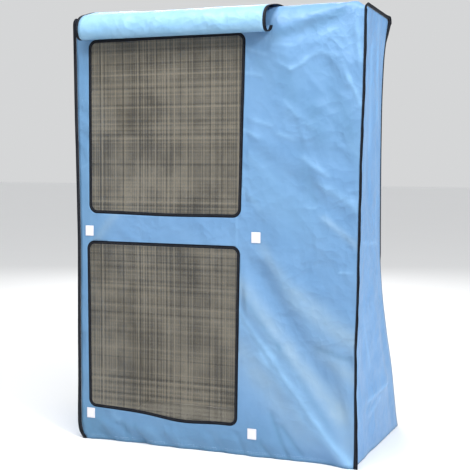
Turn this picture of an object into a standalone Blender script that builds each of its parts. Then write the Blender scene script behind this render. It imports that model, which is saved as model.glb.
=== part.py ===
"""Fitted cloth cover for a tall outdoor air conditioner.

One strip of coated cloth makes the front, the top and the back. Two side panels close it, and it is open at
the bottom. Both side seams are bound with black tape. The front has two bound windows of fine mesh, four
small fastener squares, and a long flap that is thrown back over the top and hangs down behind.

X is right, Y is towards the back and Z is up. The origin is the middle of the top panel's underside.
Heights in the tables are drops: how far a point lies below the top side edges.
"""

import math
from bisect import bisect_right
from collections import namedtuple

import bpy
from mathutils import Matrix, Vector

# Driving dimensions, in metres
HEIGHT = 1.360
FRONT_Y = -0.165
CROWN = 0.018
CLOTH = 0.0015
MESH_CLOTH = 0.001
TAPE_WIDTH = 0.010
TAPE_THICKNESS = 0.0021
GAP = 0.0003

EDGE_Z = -CROWN
EDGE_ROUND = 0.014
HEM_DROP = HEIGHT

# The four long edges of the cover, from the top to the hem: left and right are the front edges, rear is
# half the width at the back, and back is how far behind the origin the back panel hangs.
EdgeRow = namedtuple("EdgeRow", "drop left right rear back")
EDGES = (
    EdgeRow(0.000, -0.469, 0.478, 0.474, 0.154),
    EdgeRow(0.140, -0.467, 0.477, 0.462, 0.146),
    EdgeRow(0.300, -0.465, 0.474, 0.459, 0.141),
    EdgeRow(0.430, -0.462, 0.470, 0.459, 0.140),
    EdgeRow(0.590, -0.459, 0.468, 0.460, 0.140),
    EdgeRow(0.735, -0.457, 0.466, 0.461, 0.142),
    EdgeRow(0.860, -0.458, 0.465, 0.462, 0.175),
    EdgeRow(1.000, -0.459, 0.461, 0.466, 0.231),
    EdgeRow(1.150, -0.459, 0.462, 0.474, 0.291),
    EdgeRow(1.300, -0.459, 0.463, 0.476, 0.351),
    EdgeRow(1.335, -0.454, 0.462, 0.477, 0.365),
    EdgeRow(HEM_DROP, -0.438, 0.461, 0.479, 0.375),
)

# The rounded edge between the front and the top: how high the top stands over the side edges, and the
# radius of the round.
ShoulderRow = namedtuple("ShoulderRow", "x crown radius")
SHOULDER = (
    ShoulderRow(-0.469, 0.000, EDGE_ROUND),
    ShoulderRow(-0.461, 0.000, EDGE_ROUND),
    ShoulderRow(-0.446, 0.008, 0.024),
    ShoulderRow(-0.300, 0.017, 0.055),
    ShoulderRow(0.100, CROWN, 0.068),
    ShoulderRow(0.200, CROWN, 0.068),
    ShoulderRow(0.330, 0.017, 0.050),
    ShoulderRow(0.454, 0.011, 0.024),
    ShoulderRow(0.470, 0.000, EDGE_ROUND),
    ShoulderRow(0.478, 0.000, EDGE_ROUND),
)

# Soft folds of the front. Each runs from its start to its end and stands out by its height, or lies in by it
# where the height is negative.
Fold = namedtuple("Fold", "x0 drop0 x1 drop1 half_width height")
FRONT_FOLDS = (
    Fold(0.098, 0.842, 0.440, 1.325, 0.036, 0.014),
    Fold(0.160, 0.790, 0.430, 1.200, 0.038, -0.009),
    Fold(0.172, 0.702, 0.470, 1.120, 0.034, 0.008),
    Fold(0.180, 1.130, 0.330, 1.330, 0.040, -0.007),
    Fold(0.441, 0.050, 0.470, 0.330, 0.018, -0.006),
    Fold(0.230, 0.120, 0.330, 0.330, 0.055, 0.005),
    Fold(0.370, 0.180, 0.420, 0.420, 0.035, -0.005),
    Fold(0.150, 0.380, 0.300, 0.470, 0.030, 0.004),
    Fold(0.300, 0.520, 0.440, 0.640, 0.040, -0.005),
    Fold(0.190, 0.560, 0.260, 0.760, 0.035, 0.004),
    Fold(-0.391, 1.275, -0.300, 1.350, 0.016, 0.006),
    Fold(-0.335, 1.285, -0.245, 1.352, 0.016, -0.005),
    Fold(-0.280, 1.290, -0.190, 1.352, 0.016, 0.006),
    Fold(-0.150, 1.295, -0.110, 1.352, 0.020, 0.005),
    Fold(0.000, 1.300, 0.030, 1.355, 0.018, -0.005),
    Fold(0.090, 1.290, 0.140, 1.352, 0.020, 0.006),
)
# How fast a fold dies out past its ends, in half widths.
FOLD_END = 1.5
# The hem curls in.
HEM_TUCK = 0.012
HEM_TUCK_FROM = 1.310
HEM_TUCK_REACH = 0.080
# Sewn and bound places hold the cloth flat: up to the first distance it is flat, and past the second one
# the folds have their full height.
EDGE_HOLD = 0.008
FRONT_EDGE_HOLD = (EDGE_HOLD, 0.045)
WINDOW_HOLD = (0.004, 0.030)
FASTENER_HOLD = (0.045, 0.080)
FRONT_TOP_HOLD = (0.050, 0.110)
BACK_EDGE_HOLD = (EDGE_HOLD, 0.070)
BACK_TOP_HOLD = (0.030, 0.150)
SIDE_EDGE_HOLD = (0.0, 0.060)
SIDE_TOP_HOLD = (0.020, 0.120)

# Soft folds of the side panels, with the distance behind the front edge in place of x.
SIDE_FOLDS = (
    Fold(0.120, 0.030, 0.150, 0.600, 0.035, -0.006),
    Fold(0.200, 0.850, 0.330, 1.150, 0.040, 0.007),
    Fold(0.120, 1.180, 0.350, 1.160, 0.022, 0.006),
    Fold(0.090, 0.900, 0.180, 1.300, 0.045, -0.006),
)

# Soft folds of the back panel.
BACK_FOLDS = (
    Fold(-0.300, 0.250, -0.220, 0.740, 0.060, -0.006),
    Fold(0.320, 0.120, 0.260, 0.700, 0.060, -0.007),
    Fold(-0.180, 0.800, -0.260, 1.330, 0.060, 0.009),
    Fold(0.050, 0.820, 0.080, 1.330, 0.055, -0.009),
    Fold(0.260, 0.800, 0.330, 1.330, 0.060, 0.010),
)

# The windows: corners from the top left, clockwise, as x and drop, to the outside of their binding.
Window = namedtuple("Window", "name corners radius sag sag_x sag_half_width")
WINDOWS = (
    Window(
        "upper", ((-0.424, 0.063), (0.113, 0.060), (0.101, 0.621), (-0.425, 0.617)),
        radius=0.028, sag=0.003, sag_x=-0.15, sag_half_width=0.15,
    ),
    Window(
        "lower", ((-0.433, 0.706), (0.098, 0.708), (0.091, 1.268), (-0.430, 1.252)),
        radius=0.026, sag=0.012, sag_x=-0.10, sag_half_width=0.10,
    ),
)
CORNER_POINTS = 5
SIDE_STEP = 0.065
CUTTER_REACH = 0.060
# The rings of a window's mesh, as shares of its outline.
MESH_RINGS = (1.0, 0.6)

# The fastener squares: middle as x and drop, and size.
FASTENERS = {
    "upper_left": (-0.424, 0.674),
    "upper_right": (0.150, 0.680),
    "lower_left": (-0.423, 1.273),
    "lower_right": (0.140, 1.287),
}
FASTENER_WIDTH = 0.029
FASTENER_HEIGHT = 0.033
FASTENER_THICKNESS = 0.0015

# The flap, from its seam on the front: how far in front of the front panel it lies, and its height over the
# top side edges. It curls forward and up, lies on the top, turns over the back edge and hangs down.
FLAP_LEFT = -0.435
FLAP_RIGHT = 0.200
FLAP_LENGTH = 1.255
PathRow = namedtuple("PathRow", "forward height")
FLAP_PATH = (
    PathRow(0.0029, -0.045),
    PathRow(0.007, -0.053),
    PathRow(0.018, -0.061),
    PathRow(0.036, -0.067),
    PathRow(0.052, -0.065),
    PathRow(0.062, -0.056),
    PathRow(0.067, -0.040),
    PathRow(0.064, -0.022),
    PathRow(0.053, -0.005),
    PathRow(0.032, 0.008),
    PathRow(0.000, 0.016),
    PathRow(-0.040, 0.023),
    PathRow(-0.090, 0.026),
    PathRow(-0.150, 0.024),
    PathRow(-0.220, 0.0225),
    PathRow(-0.295, 0.0225),
    PathRow(-0.318, 0.019),
    PathRow(-0.329, 0.007),
    PathRow(-0.331, -0.010),
    PathRow(-0.330, -0.200),
    PathRow(-0.331, -0.450),
    PathRow(-0.333, -0.800),
)
FLAP_COLUMNS = 6
# Points that the smooth path gets for each of its rows.
PATH_POINTS = 12
# Grid steps along the flap: close together in its curl and where it turns down behind.
StepRow = namedtuple("StepRow", "up_to step")
FLAP_STEPS = (
    StepRow(0.224, 0.016),
    StepRow(0.464, 0.048),
    StepRow(0.584, 0.012),
    StepRow(FLAP_LENGTH - TAPE_WIDTH, 0.083),
)
# The flap's left end stands up a little, and its hanging part has shallow waves.
FLAP_END_LIFT = 0.009
FLAP_END_REACH = 0.120
FLAP_LIFT_AT = 0.270
FLAP_LIFT_REACH = 0.070
FLAP_HANGS = (0.600, 0.900)
FLAP_WAVE = 0.004
FLAP_WAVE_LENGTH = 0.310
FLAP_SMALL_WAVE = 0.4
FLAP_SMALL_WAVE_LENGTH = 0.170

# Which way the side tape stands, in degrees from square to the panel towards the outside, from the top
# down the back edge. On the front and the top it stands at FRONT_TAPE_ANGLE.
FRONT_TAPE_ANGLE = 45.0
AngleRow = namedtuple("AngleRow", "drop angle")
BACK_TAPE_ANGLES = (
    AngleRow(0.000, 45.0),
    AngleRow(0.030, 45.0),
    AngleRow(0.140, 0.0),
    AngleRow(0.735, 0.0),
    AngleRow(0.860, -80.0),
    AngleRow(HEM_DROP, -80.0),
)

# Grid steps
SHOULDER_ROOM = 0.200
FRONT_STEP = 0.056
FRONT_FOLD_STEP = 0.036
FOLDS_FROM = 0.700
BACK_STEP = 0.085
ROUND_STEPS = 4
TOP_STEPS = 5
SIDE_COLUMNS = 5
LEFT_COLUMNS = (0.0, 0.008, 0.025, 0.05)
MIDDLE_COLUMNS = 6
RIGHT_COLUMNS = 11
RIGHT_FROM = 0.62
LAST_COLUMNS = (0.975, 0.992, 1.0)


def material(name, colour, roughness):
    """A plain material with one colour."""
    made = bpy.data.materials.new(name)
    made.use_nodes = True
    shader = made.node_tree.nodes["Principled BSDF"]
    shader.inputs["Base Color"].default_value = (*colour, 1.0)
    shader.inputs["Roughness"].default_value = roughness
    shader.inputs["Metallic"].default_value = 0.0
    return made


def table_value(rows, key, column):
    """A column of a table, in a straight line between the rows on both sides of key."""
    keys = [row[0] for row in rows]
    at = min(max(bisect_right(keys, key), 1), len(rows) - 1)
    low, high = rows[at - 1], rows[at]
    share = min(max((key - low[0]) / (high[0] - low[0]), 0.0), 1.0)
    return getattr(low, column) * (1.0 - share) + getattr(high, column) * share


def smooth_step(value, low, high):
    """0 at low and 1 at high, with a soft start and end."""
    share = min(max((value - low) / (high - low), 0.0), 1.0)
    return share * share * (3.0 - 2.0 * share)


def fold_height(folds, x, drop):
    """How far the soft folds push the cloth out at a place."""
    total = 0.0
    for fold in folds:
        run_x, run_drop = fold.x1 - fold.x0, fold.drop1 - fold.drop0
        length = math.hypot(run_x, run_drop)
        along = ((x - fold.x0) * run_x + (drop - fold.drop0) * run_drop) / length
        across = ((x - fold.x0) * run_drop - (drop - fold.drop0) * run_x) / length
        over = max(-along, along - length, 0.0)
        fade = (across / fold.half_width) ** 2 + (over / (FOLD_END * fold.half_width)) ** 2
        total += fold.height * math.exp(-fade)
    return total


def window_clearance(x, drop):
    """How far a place lies outside the nearest window, roughly, or 0 inside one."""
    nearest = HEIGHT
    for window in WINDOWS:
        xs = [corner[0] for corner in window.corners]
        drops = [corner[1] for corner in window.corners]
        beside = max(min(xs) - x, x - max(xs), 0.0)
        above = max(min(drops) - drop, drop - max(drops) - window.sag, 0.0)
        nearest = min(nearest, math.hypot(beside, above))
    return nearest


def fastener_clearance(x, drop):
    """How far a place lies from the middle of the nearest fastener square."""
    return min(math.hypot(x - place[0], drop - place[1]) for place in FASTENERS.values())


def front_relief(x, drop):
    """How far the front stands out from its plane. The bound and sewn places are flat."""
    left = table_value(EDGES, drop, "left")
    right = table_value(EDGES, drop, "right")
    from_edge = min(x - left, right - x)
    hold = smooth_step(from_edge, *FRONT_EDGE_HOLD)
    hold *= smooth_step(window_clearance(x, drop), *WINDOW_HOLD)
    hold *= smooth_step(fastener_clearance(x, drop), *FASTENER_HOLD)
    hold *= smooth_step(drop, *FRONT_TOP_HOLD)
    tuck = smooth_step(drop, HEM_TUCK_FROM, HEM_DROP) * smooth_step(from_edge, EDGE_HOLD, HEM_TUCK_REACH)
    return fold_height(FRONT_FOLDS, x, drop) * hold - HEM_TUCK * tuck


def front_place(x, drop):
    """A point of the front panel's inner face."""
    return Vector((x, FRONT_Y - front_relief(x, drop), EDGE_Z - drop))


def row_drops(upper_step, lower_step, last):
    """Drops from the hem up to last, with every row of EDGES among them, and a step for each part."""
    stops = [row.drop for row in reversed(EDGES) if row.drop > last] + [last]
    drops = [stops[0]]
    for high, low in zip(stops, stops[1:]):
        count = max(1, math.ceil((high - low) / (lower_step if low > FOLDS_FROM else upper_step)))
        drops += [high + (low - high) * (i + 1) / count for i in range(count)]
    return drops


def column_shares():
    """The wrap's columns from left to right, as shares of the width, finer where its folds are."""
    first = LEFT_COLUMNS[-1]
    shares = list(LEFT_COLUMNS)
    shares += [first + (RIGHT_FROM - first) * (i + 1) / MIDDLE_COLUMNS for i in range(MIDDLE_COLUMNS)]
    last = LAST_COLUMNS[0]
    shares += [RIGHT_FROM + (last - RIGHT_FROM) * (i + 1) / RIGHT_COLUMNS for i in range(RIGHT_COLUMNS)]
    return shares + list(LAST_COLUMNS[1:])


def wrap_rows():
    """The wrap's inner face as rows of points, from the front hem over the top to the back hem."""
    shares = column_shares()
    rows = []
    for drop in row_drops(FRONT_STEP, FRONT_FOLD_STEP, EDGE_ROUND):
        drops = [under_shoulder(share, drop) for share in shares]
        rows.append([front_place(front_x(share, here), here) for share, here in zip(shares, drops)])
    for i in range(1, ROUND_STEPS + 1):
        turn = math.radians(90.0 * i / ROUND_STEPS)
        rows.append([shoulder_place(front_x(share, 0.0), turn) for share in shares])
    for i in range(1, TOP_STEPS):
        rows.append([top_place(share, i / TOP_STEPS) for share in shares])
    for i in range(ROUND_STEPS):
        turn = math.radians(90.0 * i / ROUND_STEPS)
        rows.append([back_round_place(share, turn) for share in shares])
    for drop in reversed(row_drops(BACK_STEP, BACK_STEP, EDGE_ROUND)):
        rows.append([back_place(share, drop) for share in shares])
    return rows


def under_shoulder(share, drop):
    """The drop of a row of the front, where the rows near the top make room for the shoulder's round."""
    x = front_x(share, 0.0)
    start = table_value(SHOULDER, x, "radius") - table_value(SHOULDER, x, "crown")
    if drop >= SHOULDER_ROOM:
        return drop
    return start + (drop - EDGE_ROUND) * (SHOULDER_ROOM - start) / (SHOULDER_ROOM - EDGE_ROUND)


def front_x(share, drop):
    """X on the front, a share of the way from the left edge to the right."""
    left = table_value(EDGES, drop, "left")
    right = table_value(EDGES, drop, "right")
    return left + (right - left) * share


def shoulder_place(x, turn):
    """A point of the round between the front and the top, turned from the front by an angle."""
    crown = table_value(SHOULDER, x, "crown")
    radius = table_value(SHOULDER, x, "radius")
    y = FRONT_Y + radius * (1.0 - math.cos(turn))
    return Vector((x, y, EDGE_Z + crown - radius * (1.0 - math.sin(turn))))


def back_top_place(share):
    """The point where the top ends and the back round starts."""
    x = (2.0 * share - 1.0) * EDGES[0].rear
    crown = table_value(SHOULDER, x, "crown")
    return Vector((x, EDGES[0].back - EDGE_ROUND, EDGE_Z + crown))


def top_place(share, across):
    """A point of the top, a share of the way from the front round to the back round."""
    start = shoulder_place(front_x(share, 0.0), math.radians(90.0))
    return start.lerp(back_top_place(share), across)


def back_round_place(share, turn):
    """A point of the round between the top and the back."""
    start = back_top_place(share)
    reach = EDGE_ROUND + start.z - EDGE_Z
    return start + Vector((0.0, EDGE_ROUND * math.sin(turn), -reach * (1.0 - math.cos(turn))))


def back_place(share, drop):
    """A point of the back panel's inner face."""
    half = table_value(EDGES, drop, "rear")
    x = (2.0 * share - 1.0) * half
    hold = smooth_step(half - abs(x), *BACK_EDGE_HOLD) * smooth_step(drop, *BACK_TOP_HOLD)
    push = fold_height(BACK_FOLDS, x, drop) * hold
    return Vector((x, table_value(EDGES, drop, "back") + push, EDGE_Z - drop))


def side_place(sign, share, drop, cut):
    """A point of a side panel's outer face, a share of the way from its front edge to its back edge.

    The round corners at the top cut into both edges.
    """
    front = Vector((side_front_x(sign, drop), FRONT_Y + GAP + cut, EDGE_Z - drop))
    rear_x = sign * table_value(EDGES, drop, "rear")
    rear = Vector((rear_x, table_value(EDGES, drop, "back") - GAP - cut, EDGE_Z - drop))
    place = front.lerp(rear, share)
    from_edge = min(place.y - front.y, rear.y - place.y)
    hold = smooth_step(from_edge, *SIDE_EDGE_HOLD) * smooth_step(drop, *SIDE_TOP_HOLD)
    place.x += sign * fold_height(SIDE_FOLDS, place.y - FRONT_Y, drop) * hold
    return place


def side_front_x(sign, drop):
    """X of the front edge on one side."""
    return table_value(EDGES, drop, "right" if sign > 0 else "left")


def side_rows(sign):
    """A side panel as rows of points, from the hem up to its top edge."""
    levels = [(drop, 0.0) for drop in row_drops(BACK_STEP, BACK_STEP, EDGE_ROUND)]
    for i in range(1, ROUND_STEPS + 1):
        turn = math.radians(90.0 * i / ROUND_STEPS)
        levels.append((EDGE_ROUND * (1.0 - math.sin(turn)) + GAP, EDGE_ROUND * (1.0 - math.cos(turn))))
    shares = [i / SIDE_COLUMNS for i in range(SIDE_COLUMNS + 1)]
    return [[side_place(sign, share, drop, cut) for share in shares] for drop, cut in levels]


def grid_faces(rows, columns, kept=None):
    """The quads of a grid of rows and columns, or only the ones in kept."""
    faces = []
    for r in range(rows - 1):
        for c in range(columns - 1):
            if kept is None or kept(r, c):
                first = r * columns + c
                faces.append((first, first + 1, first + columns + 1, first + columns))
    return faces


def mesh_object(name, points, faces, finish):
    """An object made of points and faces, without the points that no face uses."""
    used = sorted({index for face in faces for index in face})
    place = {old: new for new, old in enumerate(used)}
    mesh = bpy.data.meshes.new(name)
    mesh.from_pydata([points[i] for i in used], [], [tuple(place[i] for i in face) for face in faces])
    mesh.materials.append(finish)
    mesh.shade_smooth()
    made = bpy.data.objects.new(name, mesh)
    cover.objects.link(made)
    return made


def sheet(name, rows, thickness, offset, finish, kept=None):
    """A sheet of cloth on rows of points. An offset of 1 puts the thickness outside them, and -1 inside."""
    points = [point for row in rows for point in row]
    made = mesh_object(name, points, grid_faces(len(rows), len(rows[0]), kept), finish)
    thicken(made, thickness, offset)
    return made


def thicken(made, thickness, offset):
    """Gives an open surface its thickness."""
    solid = made.modifiers.new("thickness", "SOLIDIFY")
    solid.thickness = thickness
    solid.offset = offset
    solid.use_even_offset = True


def flip(made):
    """Turns a surface's faces round."""
    made.data.flip_normals()
    return made


def window_outline(window, inset):
    """The rounded outline of a window, inset from the outside of its binding, as x and drop."""
    inward = ((1, 1), (-1, 1), (-1, -1), (1, -1))
    radius = window.radius - inset
    corners = [
        Vector((corner[0] + sign[0] * inset, corner[1] + sign[1] * inset))
        for corner, sign in zip(window.corners, inward)
    ]
    outline = []
    for i, (corner, sign) in enumerate(zip(corners, inward)):
        middle = corner + Vector(sign) * radius
        for k in range(CORNER_POINTS):
            turn = math.radians(180.0 + 90.0 * i + 90.0 * k / (CORNER_POINTS - 1))
            outline.append(middle + radius * Vector((math.cos(turn), math.sin(turn))))
        following = corners[(i + 1) % 4] + Vector(inward[(i + 1) % 4]) * radius
        start = outline[-1]
        turn = math.radians(270.0 + 90.0 * i)
        end = following + radius * Vector((math.cos(turn), math.sin(turn)))
        count = round((end - start).length / SIDE_STEP)
        outline += [start.lerp(end, (k + 1) / count) for k in range(count - 1)]
    middle_drop = sum(corner.y for corner in corners) / 4.0
    for point in outline:
        share = smooth_step(point.y, middle_drop, corners[2].y)
        point.y += window.sag * share * math.exp(-(((point.x - window.sag_x) / window.sag_half_width) ** 2))
    return outline


def sheet_middle(x, drop):
    """A point in the middle of the front cloth's thickness."""
    return front_place(x, drop) - Vector((0.0, CLOTH / 2.0, 0.0))


def window_binding(window, finish):
    """The tape around a window's edge: a ring in the plane of the cloth."""
    outer = window_outline(window, 0.0)
    inner = window_outline(window, TAPE_WIDTH)
    rows = [[sheet_middle(*point) for point in loop] for loop in (outer, inner)]
    count = len(outer)
    points = rows[0] + rows[1]
    faces = [(i, (i + 1) % count, count + (i + 1) % count, count + i) for i in range(count)]
    made = mesh_object("window_binding_" + window.name, points, faces, finish)
    thicken(made, TAPE_THICKNESS, 0.0)
    return made


def window_mesh(window, finish):
    """The fine mesh inside a window's binding, as rings that close in on its middle."""
    outline = window_outline(window, TAPE_WIDTH + GAP)
    middle = sum(outline, Vector((0.0, 0.0))) / len(outline)
    count = len(outline)
    points = [sheet_middle(*middle.lerp(point, share)) for share in MESH_RINGS for point in outline]
    points.append(sheet_middle(*middle))
    faces = []
    for ring in range(len(MESH_RINGS) - 1):
        for i in range(count):
            first, following = ring * count + i, ring * count + (i + 1) % count
            faces.append((first, following, following + count, first + count))
    last = (len(MESH_RINGS) - 1) * count
    faces += [(last + i, last + (i + 1) % count, len(points) - 1) for i in range(count)]
    made = mesh_object("window_mesh_" + window.name, points, faces, finish)
    thicken(made, MESH_CLOTH, 0.0)
    return made


def cut_window(wrap, window):
    """Cuts a window out of the front, with a gap around its binding."""
    outline = window_outline(window, -GAP)
    count = len(outline)
    points = [(p.x, FRONT_Y + side, EDGE_Z - p.y) for side in (-CUTTER_REACH, CUTTER_REACH) for p in outline]
    faces = [(i, (i + 1) % count, (i + 1) % count + count, i + count) for i in range(count)]
    faces.append(tuple(reversed(range(count))))
    faces.append(tuple(range(count, 2 * count)))
    mesh = bpy.data.meshes.new("window_cutter_" + window.name)
    mesh.from_pydata(points, [], faces)
    made = bpy.data.objects.new(mesh.name, mesh)
    cutters.objects.link(made)
    made.hide_render = True
    made.display_type = "WIRE"
    cut = wrap.modifiers.new("window " + window.name, "BOOLEAN")
    cut.operation = "DIFFERENCE"
    cut.solver = "EXACT"
    cut.object = made
    return made


def fastener(name, place, finish):
    """A small square of hook-and-loop tape, sewn flat on the front."""
    back_y = FRONT_Y - (CLOTH + TAPE_THICKNESS) / 2.0 - GAP
    middle = (place[0], back_y - FASTENER_THICKNESS / 2.0, EDGE_Z - place[1])
    bpy.ops.mesh.primitive_cube_add(size=1.0, location=middle)
    made = bpy.context.object
    made.name = "fastener_" + name
    made.data.name = made.name
    made.data.transform(Matrix.Diagonal((FASTENER_WIDTH, FASTENER_THICKNESS, FASTENER_HEIGHT, 1.0)))
    made.data.materials.append(finish)
    for collection in list(made.users_collection):
        collection.objects.unlink(made)
    cover.objects.link(made)
    return made


def flap_line():
    """The flap's path, smoothed through its rows, as distances along it and points (forward, height)."""
    knots = [Vector(row) for row in FLAP_PATH]
    knots = [2.0 * knots[0] - knots[1]] + knots + [2.0 * knots[-1] - knots[-2]]
    line = []
    for before, low, high, after in zip(knots, knots[1:], knots[2:], knots[3:]):
        bend_low = 2.0 * before - 5.0 * low + 4.0 * high - after
        bend_high = 3.0 * low - before - 3.0 * high + after
        for k in range(PATH_POINTS):
            t = k / PATH_POINTS
            line.append(low + 0.5 * ((high - before) * t + bend_low * t**2 + bend_high * t**3))
    along = [0.0]
    for low, high in zip(line, line[1:]):
        along.append(along[-1] + (high - low).length)
    return along, line


def flap_stations():
    """Distances along the flap, from its seam to the binding of its free end."""
    stations = [0.0]
    for up_to, step in FLAP_STEPS:
        start = stations[-1]
        count = round((up_to - start) / step)
        stations += [start + (up_to - start) * (i + 1) / count for i in range(count)]
    return stations


def flap_place(line, x, distance):
    """A point in the middle of the flap's thickness."""
    along, points = line
    at = min(max(bisect_right(along, distance), 1), len(along) - 1)
    share = (distance - along[at - 1]) / (along[at] - along[at - 1])
    forward, height = points[at - 1].lerp(points[at], share)
    end = math.exp(-(((x - FLAP_LEFT) / FLAP_END_REACH) ** 2))
    height += FLAP_END_LIFT * end * math.exp(-(((distance - FLAP_LIFT_AT) / FLAP_LIFT_REACH) ** 2))
    wave = 1.0 + math.sin(2.0 * math.pi * (x - FLAP_LEFT) / FLAP_WAVE_LENGTH)
    wave += FLAP_SMALL_WAVE * math.sin(2.0 * math.pi * x / FLAP_SMALL_WAVE_LENGTH)
    sway = FLAP_WAVE * wave * smooth_step(distance, *FLAP_HANGS)
    return Vector((x, FRONT_Y - forward + sway, EDGE_Z + height))


def flap_columns(left, right):
    """Evenly spaced columns between two places."""
    return [left + (right - left) * i / FLAP_COLUMNS for i in range(FLAP_COLUMNS + 1)]


def flap_cloth(line, finish):
    """The flap's cloth, inside its binding."""
    columns = flap_columns(FLAP_LEFT + TAPE_WIDTH + GAP, FLAP_RIGHT - TAPE_WIDTH - GAP)
    stations = flap_stations()
    stations[-1] -= GAP
    rows = [[flap_place(line, x, distance) for x in columns] for distance in stations]
    return sheet("flap", rows, CLOTH, 0.0, finish)


def flap_binding(line, finish):
    """The tape along the flap's two long edges and its free end, as one strip."""
    inside = flap_columns(FLAP_LEFT + TAPE_WIDTH, FLAP_RIGHT - TAPE_WIDTH)
    columns = [FLAP_LEFT] + inside + [FLAP_RIGHT]
    stations = flap_stations() + [FLAP_LENGTH]
    rows = [[flap_place(line, x, distance) for x in columns] for distance in stations]
    last_row, last_column = len(stations) - 2, len(columns) - 2
    return sheet(
        "flap_binding", rows, TAPE_THICKNESS, 0.0, finish,
        kept=lambda row, column: column in (0, last_column) or row == last_row,
    )


def seam_points(sign):
    """The outer corner line of one side, with the panel's outward direction and the tape's angle."""
    found = []
    for drop in row_drops(BACK_STEP, BACK_STEP, EDGE_ROUND):
        place = Vector((side_front_x(sign, drop), FRONT_Y - CLOTH, EDGE_Z - drop))
        found.append((place, Vector((0.0, -1.0, 0.0)), FRONT_TAPE_ANGLE))
    top_x = side_front_x(sign, 0.0)
    outer = EDGE_ROUND + CLOTH
    for i in range(1, ROUND_STEPS + 1):
        turn = math.radians(90.0 * i / ROUND_STEPS)
        out = Vector((0.0, -math.cos(turn), math.sin(turn)))
        middle = Vector((top_x, FRONT_Y + EDGE_ROUND, EDGE_Z - EDGE_ROUND))
        found.append((middle + outer * out, out, FRONT_TAPE_ANGLE))
    rear_x = sign * EDGES[0].rear
    back_middle = Vector((rear_x, EDGES[0].back - EDGE_ROUND, EDGE_Z - EDGE_ROUND))
    front_end = found[-1][0]
    back_start = back_middle + Vector((0.0, 0.0, outer))
    for i in range(1, TOP_STEPS):
        found.append((front_end.lerp(back_start, i / TOP_STEPS), Vector((0.0, 0.0, 1.0)), FRONT_TAPE_ANGLE))
    for i in range(ROUND_STEPS):
        turn = math.radians(90.0 * i / ROUND_STEPS)
        out = Vector((0.0, math.sin(turn), math.cos(turn)))
        found.append((back_middle + outer * out, out, FRONT_TAPE_ANGLE))
    for drop in reversed(row_drops(BACK_STEP, BACK_STEP, EDGE_ROUND)):
        out = Vector((0.0, 1.0, back_slope(drop))).normalized()
        x = sign * table_value(EDGES, drop, "rear")
        rear = Vector((x, table_value(EDGES, drop, "back"), EDGE_Z - drop))
        found.append((rear + CLOTH * out / out.y, out, table_value(BACK_TAPE_ANGLES, drop, "angle")))
    return found


def back_slope(drop):
    """How fast the back panel moves back as it goes down."""
    low, high = max(drop - CLOTH, 0.0), min(drop + CLOTH, HEM_DROP)
    return (table_value(EDGES, high, "back") - table_value(EDGES, low, "back")) / (high - low)


def seam_binding(name, sign, finish):
    """The tape folded over one side seam: a strip that stands out from the corner line."""
    rows = []
    for place, out, angle in seam_points(sign):
        turn = math.radians(angle)
        aside = Vector((sign, 0.0, 0.0))
        stand = math.cos(turn) * out + math.sin(turn) * aside
        lift = GAP - min(math.sin(turn), 0.0) * TAPE_THICKNESS / 2.0
        start = place + (GAP * stand if angle > 0.0 else lift * out)
        rows.append([start, start + TAPE_WIDTH * stand])
    return sheet(name, rows, TAPE_THICKNESS, 0.0, finish)


# The scene is emptied, and the two collections are made
for old in list(bpy.data.objects):
    bpy.data.objects.remove(old, do_unlink=True)
cover = bpy.data.collections.new("air_conditioner_cover")
cutters = bpy.data.collections.new("cutters")
bpy.context.scene.collection.children.link(cover)
bpy.context.scene.collection.children.link(cutters)

# Materials
blue_front = material("blue coated cloth, front", (0.23, 0.44, 0.74), 0.42)
blue_right = material("blue coated cloth, right side", (0.27, 0.50, 0.80), 0.42)
blue_left = material("blue coated cloth, left side", (0.25, 0.47, 0.77), 0.42)
blue_flap = material("blue coated cloth, flap", (0.34, 0.60, 0.88), 0.40)
tape_right = material("black tape, right seam", (0.012, 0.016, 0.028), 0.50)
tape_left = material("black tape, left seam", (0.012, 0.016, 0.030), 0.50)
tape_window = material("black tape, windows", (0.014, 0.018, 0.030), 0.50)
tape_flap = material("black tape, flap", (0.013, 0.017, 0.029), 0.50)
net = material("dark mesh", (0.10, 0.095, 0.085), 0.70)
white = material("white hook-and-loop tape", (0.86, 0.86, 0.92), 0.80)

# The cover's cloth
wrap = sheet("wrap_panel", wrap_rows(), CLOTH, 1.0, blue_front)
for window in WINDOWS:
    cut_window(wrap, window)
sheet("side_panel_right", side_rows(1), CLOTH, -1.0, blue_right)
flip(sheet("side_panel_left", side_rows(-1), CLOTH, -1.0, blue_left))

# The bindings
seam_binding("seam_binding_right", 1, tape_right)
flip(seam_binding("seam_binding_left", -1, tape_left))

# The windows
for window in WINDOWS:
    window_binding(window, tape_window)
    window_mesh(window, net)

# The fasteners
for name, place in FASTENERS.items():
    fastener(name, place, white)

# The flap
line = flap_line()
flap_cloth(line, blue_flap)
flap_binding(line, tape_flap)
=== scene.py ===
"""Looks of the fitted cloth cover for a tall outdoor air conditioner.

Every sheet lies where its solid lies, on a finer grid, with the small creases that the solids leave out. The
tapes are folded strips with a row of stitches on each face. X is right, Y is towards the back and Z is up, in
metres. Heights in the tables are drops: how far a point lies below the top side edges.
"""

import math
from collections import namedtuple

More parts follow.
